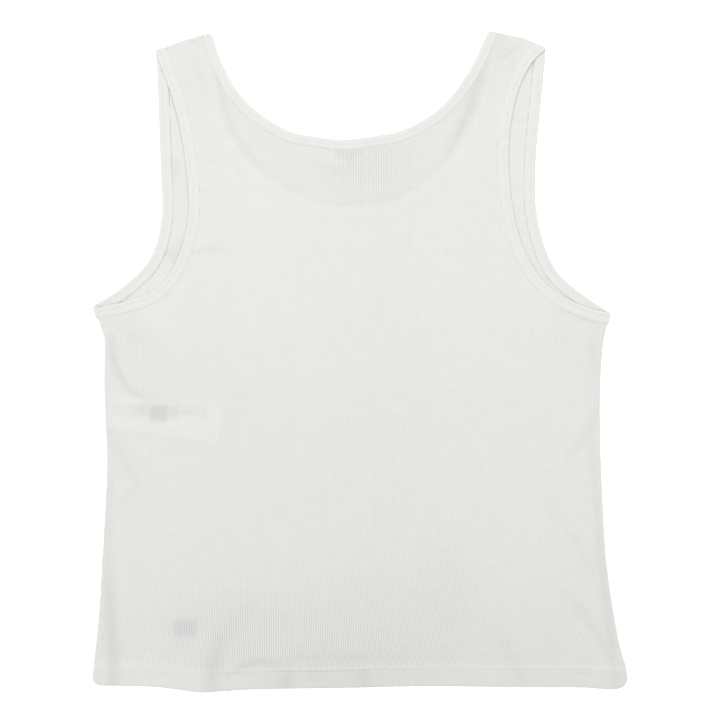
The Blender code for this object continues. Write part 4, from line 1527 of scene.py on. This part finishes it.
def make_tape(name, upper_name, stitch, rounds, material):
    upper, lower = EDGES[upper_name], EDGES[upper_name.replace("back", "front")]
    frames = tape_sections(upper, lower, upper_name, rounds)
    profile = tape_profile(upper.width, stitch)
    count, size = len(frames), len(profile)
    across, height = profile.T
    groove = np.append(np.arange(count - 1) % PER_RIB == 0, False)[:, None]
    outer = np.arange(size) < size - SLIT_POINTS
    middle = TAPE / 2
    at_mouth = ramp(across, upper.width - 1.0, 0.9) * (np.abs(height - middle) < 0.1)
    height = middle + (height - middle) * (1 - groove * outer * TAPE_RIB_DEPTH / middle)
    height = height - MOUTH_DROP * frames[:, 2, 2:] * at_mouth
    across = np.broadcast_to(across, height.shape)
    points = on_tape(frames, across, height, upper.width).reshape(-1, 3)
    faces = facing_out(points, between_sections(count, size))
    thing = mesh_object(name, points, faces, [material])
    add_values(thing, "depth", np.ones(len(points)))
    add_values(thing, "wale", np.repeat(np.arange(count) / PER_RIB, size))
    add_values(thing, "course", across.ravel())
    tint = tape_tint(across.ravel(), stitch)
    if "arm" in upper_name:
        tint = tint * hollow_shade(points, upper)[:, None]
    add_values(thing, "tint", tint)
    return thing, frames


def between_sections(count, size):
    """Four-sided faces from each section to the next, and from the last to the first."""
    ring, here = np.arange(size), np.arange(count)[:, None] * size
    after, there = (ring + 1) % size, np.roll(here, -1, axis=0)
    return np.stack([here + ring, here + after, there + after, there + ring], axis=2).reshape(-1, 4)


def facing_out(points, faces):
    """The four-sided faces of a closed mesh, turned outwards."""
    a, b, c, d = (points[faces[:, k]] for k in range(4))
    volume = (a * (np.cross(b, c) + np.cross(c, d))).sum()
    return (faces if volume > 0 else faces[:, [0, 3, 2, 1]]).tolist()


def tape_tint(across, stitch):
    # painted shade in the dip of the stitch line
    shade = 1 - 0.025 * hump(across, stitch, 0.6)
    return np.array(IVORY_TAPE) * shade[:, None]


def hollow_shade(points, upper):
    """Under an arm the lower tape shows dark in the hollow beside the upper one's edge."""
    away, along = nearest_on(upper.line[::3], points[:, :2], 8.0)
    lower = 1 - ramp(points[:, 2], TAPE + 0.05, 0.2)
    return 1 - 0.26 * lower * hump(along, 6.0, 20.0) * hump(away, 0.0, 1.4)


# Stitches


def thread_round():
    """Cosines and sines round a thread."""
    angles = np.arange(THREAD_SIDES) / THREAD_SIDES * 2 * np.pi
    return np.cos(angles), np.sin(angles)


def tube_faces(tubes, rings, inward=False):
    """Faces of many short closed threads, whose points run round one ring after another."""
    faces, sides = [], THREAD_SIDES
    for base in range(0, tubes * rings * sides, rings * sides):
        last = base + (rings - 1) * sides
        for ring in range(base, last, sides):
            for k in range(sides):
                a, b = ring + k, ring + (k + 1) % sides
                c, d = b + sides, a + sides
                faces.append((a, d, c, b) if inward else (a, b, c, d))
        ends = [tuple(range(base, base + sides)), tuple(range(last, last + sides))[::-1]]
        faces += ends if inward else [end[::-1] for end in ends]
    return faces


def stitch_row(spots, ups, length, gap):
    """Stitches end to end along a line: each a short thread that dips in at both ends."""
    run = run_of(spots)
    begins = np.arange(0.4, run[-1] - length, length + gap)
    shares, thick, dip = np.transpose(STITCH_SECTIONS)
    at = (begins[:, None] + shares * length).ravel()
    up = unit(at_run(at, run, ups))
    ahead = at_run(at + 0.2, run, spots) - at_run(at - 0.2, run, spots)
    across = unit(np.cross(unit(ahead), up))
    centre = at_run(at, run, spots) + up * np.tile(dip, len(begins))[:, None]
    size = (np.tile(thick, len(begins)) * THREAD_RADIUS)[:, None, None]
    c, s = thread_round()
    ring = c[:, None] * across[:, None] + s[:, None] * up[:, None]
    points = (centre[:, None] + ring * size).reshape(-1, 3)
    return points, tube_faces(len(begins), len(shares))


def joined(meshes):
    """Points and faces of several meshes as one."""
    points, faces, begun = [], [], 0
    for own_points, own_faces in meshes:
        faces += [tuple(i + begun for i in face) for face in own_faces]
        points.append(own_points)
        begun += len(own_points)
    return np.vstack(points), faces


def tape_stitches(name, frames, stitch, width, material):
    """A row of stitches on the outer face of a tape, and one on its inner face."""
    rows = []
    for height, way in ((TAPE_STITCH_HEIGHT, 1), (TAPE - TAPE_STITCH_HEIGHT, -1)):
        across = np.full((len(frames), 1), stitch)
        line = on_tape(frames, across, np.full((len(frames), 1), height), width)[:, 0]
        rows.append(stitch_row(line, frames[:, 2] * way, *TAPE_STITCH))
    return mesh_object(name, *joined(rows), [material])


def hem_stitches(name, layer, material):
    """Both rows of a hem's stitches, on the layer's outer face."""
    share = np.linspace(0.004, 0.996, 900)
    ridge = np.full(len(share), 1 / COLUMNS)
    rows = []
    for row in STITCH_ROWS:
        y = np.full(len(share), HEM_LEVEL + row)
        for _ in range(2):
            y = row_y(row, column_x(share, y))
        plan = np.column_stack([column_x(share, y), y])
        if layer == "back":
            z, up = back_heights(plan, ridge)[1], 1.0
        else:
            z, up = front_heights(plan, ridge)[0], -1.0
        z = z + HEM_STITCH_LIFT[layer]
        ups = np.tile([0.0, 0.0, up], (len(plan), 1))
        rows.append(stitch_row(np.column_stack([plan, z]), ups, *HEM_STITCH))
    return mesh_object(name, *joined(rows), [material])


def make_patch(material):
    """Rows of satin stitch laid close together, level with the outer face of the front."""
    x, y, width, height = PATCH
    rows = np.arange(int(height / SATIN_PITCH))
    steps = np.linspace(-1, 1, 9)
    radius = SATIN_RADIUS * np.sqrt(np.maximum(1 - np.abs(steps) ** 6, 0.02))[:, None]
    half = width / 2 - 0.25 * (rows % 2)
    at = y - height / 2 + (rows + 0.5) * height / len(rows)
    points = np.empty((len(rows), len(steps), THREAD_SIDES, 3))
    points[..., 0] = x + (half[:, None] * steps)[..., None]
    c, s = thread_round()
    points[..., 1] = at[:, None, None] + radius * c
    points[..., 2] = SATIN_LEVEL + radius * s
    faces = tube_faces(len(rows), len(steps), inward=True)
    return mesh_object("front_patch", points.reshape(-1, 3), faces, [material])


# Labels


def make_neck_label(material):
    """A woven strip folded in half along its lower edge, with a round fold."""
    half, radius = NECK_LABEL[3] / 2, LABEL_LEAF + LABEL_SLIT / 2
    leaf = np.linspace(half, radius - half, 15)
    turn = np.linspace(0, np.pi, 9)[1:-1]
    fold = np.column_stack([radius - half - radius * np.sin(turn), radius * np.cos(turn)])
    upper, lower = (np.column_stack([leaf, np.full(len(leaf), z)]) for z in (radius, -radius))
    path = np.vstack([upper, fold, lower[::-1]])
    along = unit(np.gradient(path, axis=0))
    inner = path + np.column_stack([-along[:, 1], along[:, 0]]) * LABEL_LEAF
    section = np.vstack([path, inner[::-1]])
    strip = label_strip(NECK_LABEL, section, radius, NECK_BARS)
    return label_object("neck_label_tape", [strip], material)


def make_care_label(material):
    """Two pages of printed tape, one on the other, sewn in the side seam at one end."""
    strips = []
    for i, page in enumerate(CARE_PAGES):
        steps = np.linspace(-CARE_PAGE[1] / 2, CARE_PAGE[1] / 2, 24)
        wave = 0.05 * np.sin(steps / 3.1 + i)
        top = np.column_stack([steps[::-1], LABEL_LEAF + wave[::-1]])
        section = np.vstack([top, np.column_stack([steps, wave])])
        floor = CARE_FLOOR + i * (LABEL_LEAF + LABEL_SLIT)
        strips.append(label_strip(page, section, floor, CARE_BARS if i else ()))
    return label_object("care_label_tape", strips, material)


def label_strip(label, section, floor, bars):
    """Points, faces and ink of a strip of label with this section across it."""
    x0, y0, length, _, turn = label
    xs = np.linspace(-length / 2, length / 2, int(length) + 1)
    columns, size = len(xs), len(section)
    local = np.array([(x, s[0], s[1]) for x in xs for s in section])
    end = np.array([(k, size - 1 - k, size - 2 - k, k + 1) for k in range(size // 2 - 1)])
    walls = between_sections(columns, size)[:-size]
    faces = np.vstack([walls, end, end[:, ::-1] + (columns - 1) * size])
    plan = turned(local[:, :2], turn) + (x0, y0)
    ink = np.zeros(len(local))
    for across, up, long, wide, strength in bars:
        ink = np.maximum(ink, strength * box_mask(local[:, :2], (across, up), (long, wide), 0.3))
    points = np.column_stack([plan, floor + local[:, 2]])
    return points, faces, np.clip(ink * INK_STRENGTH, 0, 1)


def label_object(name, strips, material):
    points, faces = joined(strip[:2] for strip in strips)
    thing = mesh_object(name, points, facing_out(points, np.array(faces)), [material])
    ink = np.concatenate([strip[2] for strip in strips])[:, None]
    add_values(thing, "tint", np.array(LABEL_WHITE) * (1 - ink) + np.array(INK) * ink)
    return thing


# Stage


def make_stage():
    mesh = bpy.data.meshes.new("studio_floor")
    corners = [(x * FLOOR_HALF, y * FLOOR_HALF, FLOOR_LEVEL) for x, y in FLOOR_CORNERS]
    mesh.from_pydata(corners, [], [(0, 1, 2, 3)])
    mesh.materials.append(floor_material())
    add_object("studio_floor", mesh)


def make_lights():
    """A big soft light overhead, nearer the shoulders, and even light from all round."""
    light = bpy.data.lights.new("key_above", "AREA")
    light.shape = "RECTANGLE"
    light.size, light.size_y = KEY_SIZE
    light.energy = KEY_POWER
    lamp = add_object("key_above", light)
    lamp.location = KEY_PLACE
    lamp.rotation_euler = (Vector(KEY_AIM) - Vector(KEY_PLACE)).to_track_quat("-Z", "Y").to_euler()
    world = bpy.data.worlds.new("studio")
    world.use_nodes = True
    back = world.node_tree.nodes["Background"]
    back.inputs["Color"].default_value = (1.0, 1.0, 1.0, 1.0)
    back.inputs["Strength"].default_value = WORLD_STRENGTH
    bpy.context.scene.world = world


def make_camera():
    camera = bpy.data.cameras.new("above")
    camera.sensor_fit = "HORIZONTAL"
    camera.sensor_width = SENSOR_WIDTH
    camera.lens = SENSOR_WIDTH * CAMERA_HEIGHT / VIEW_WIDTH
    camera.clip_start, camera.clip_end = 0.05, 50.0
    thing = add_object("above", camera)
    thing.location = (*VIEW_CENTRE, CAMERA_HEIGHT)
    bpy.context.scene.camera = thing


def piece(thing, slot, *nodes):
    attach(thing, "root")
    if nodes:
        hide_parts(*nodes)
    return thing


def main():
    scene = bpy.context.scene
    scene.view_settings.view_transform = "Standard"
    knit = knit_material("rib_knit", 0.0, 0.10)
    inner = knit_material("rib_knit_inner", 1.2, 0.10)
    tape = knit_material("rib_tape", 0.0, 0.07)
    thread = thread_material("sewing_thread", THREAD, 900.0)
    patch_thread = thread_material("patch_thread", PATCH_THREAD, 700.0)
    label = label_material("label_tape")
    back = piece(make_back_cloth(knit, inner), "rib_knit", "back_panel")
    front = piece(make_front_cloth(knit), "rib_knit", "front_panel")
    for name, upper, stitch, corners, node in RINGS:
        rounds = [CORNER_ROUND[corner] for corner in corners]
        ring, frames = make_tape(name, upper, stitch, rounds, tape)
        piece(ring, "rib_tape", node)
        sewn = tape_stitches(f"{name}_stitches", frames, stitch, EDGES[upper].width, thread)
        piece(sewn, "rib_tape")
    back_hem = piece(hem_stitches("back_hem_stitches", "back", thread), "rib_knit")
    front_hem = piece(hem_stitches("front_hem_stitches", "front", thread), "rib_knit")
    patch = piece(make_patch(patch_thread), "rib_knit")
    piece(make_care_label(label), "label_tape", "care_label")
    piece(make_neck_label(label), "label_tape", "neck_label")
    make_stage()
    make_lights()
    make_camera()


main()
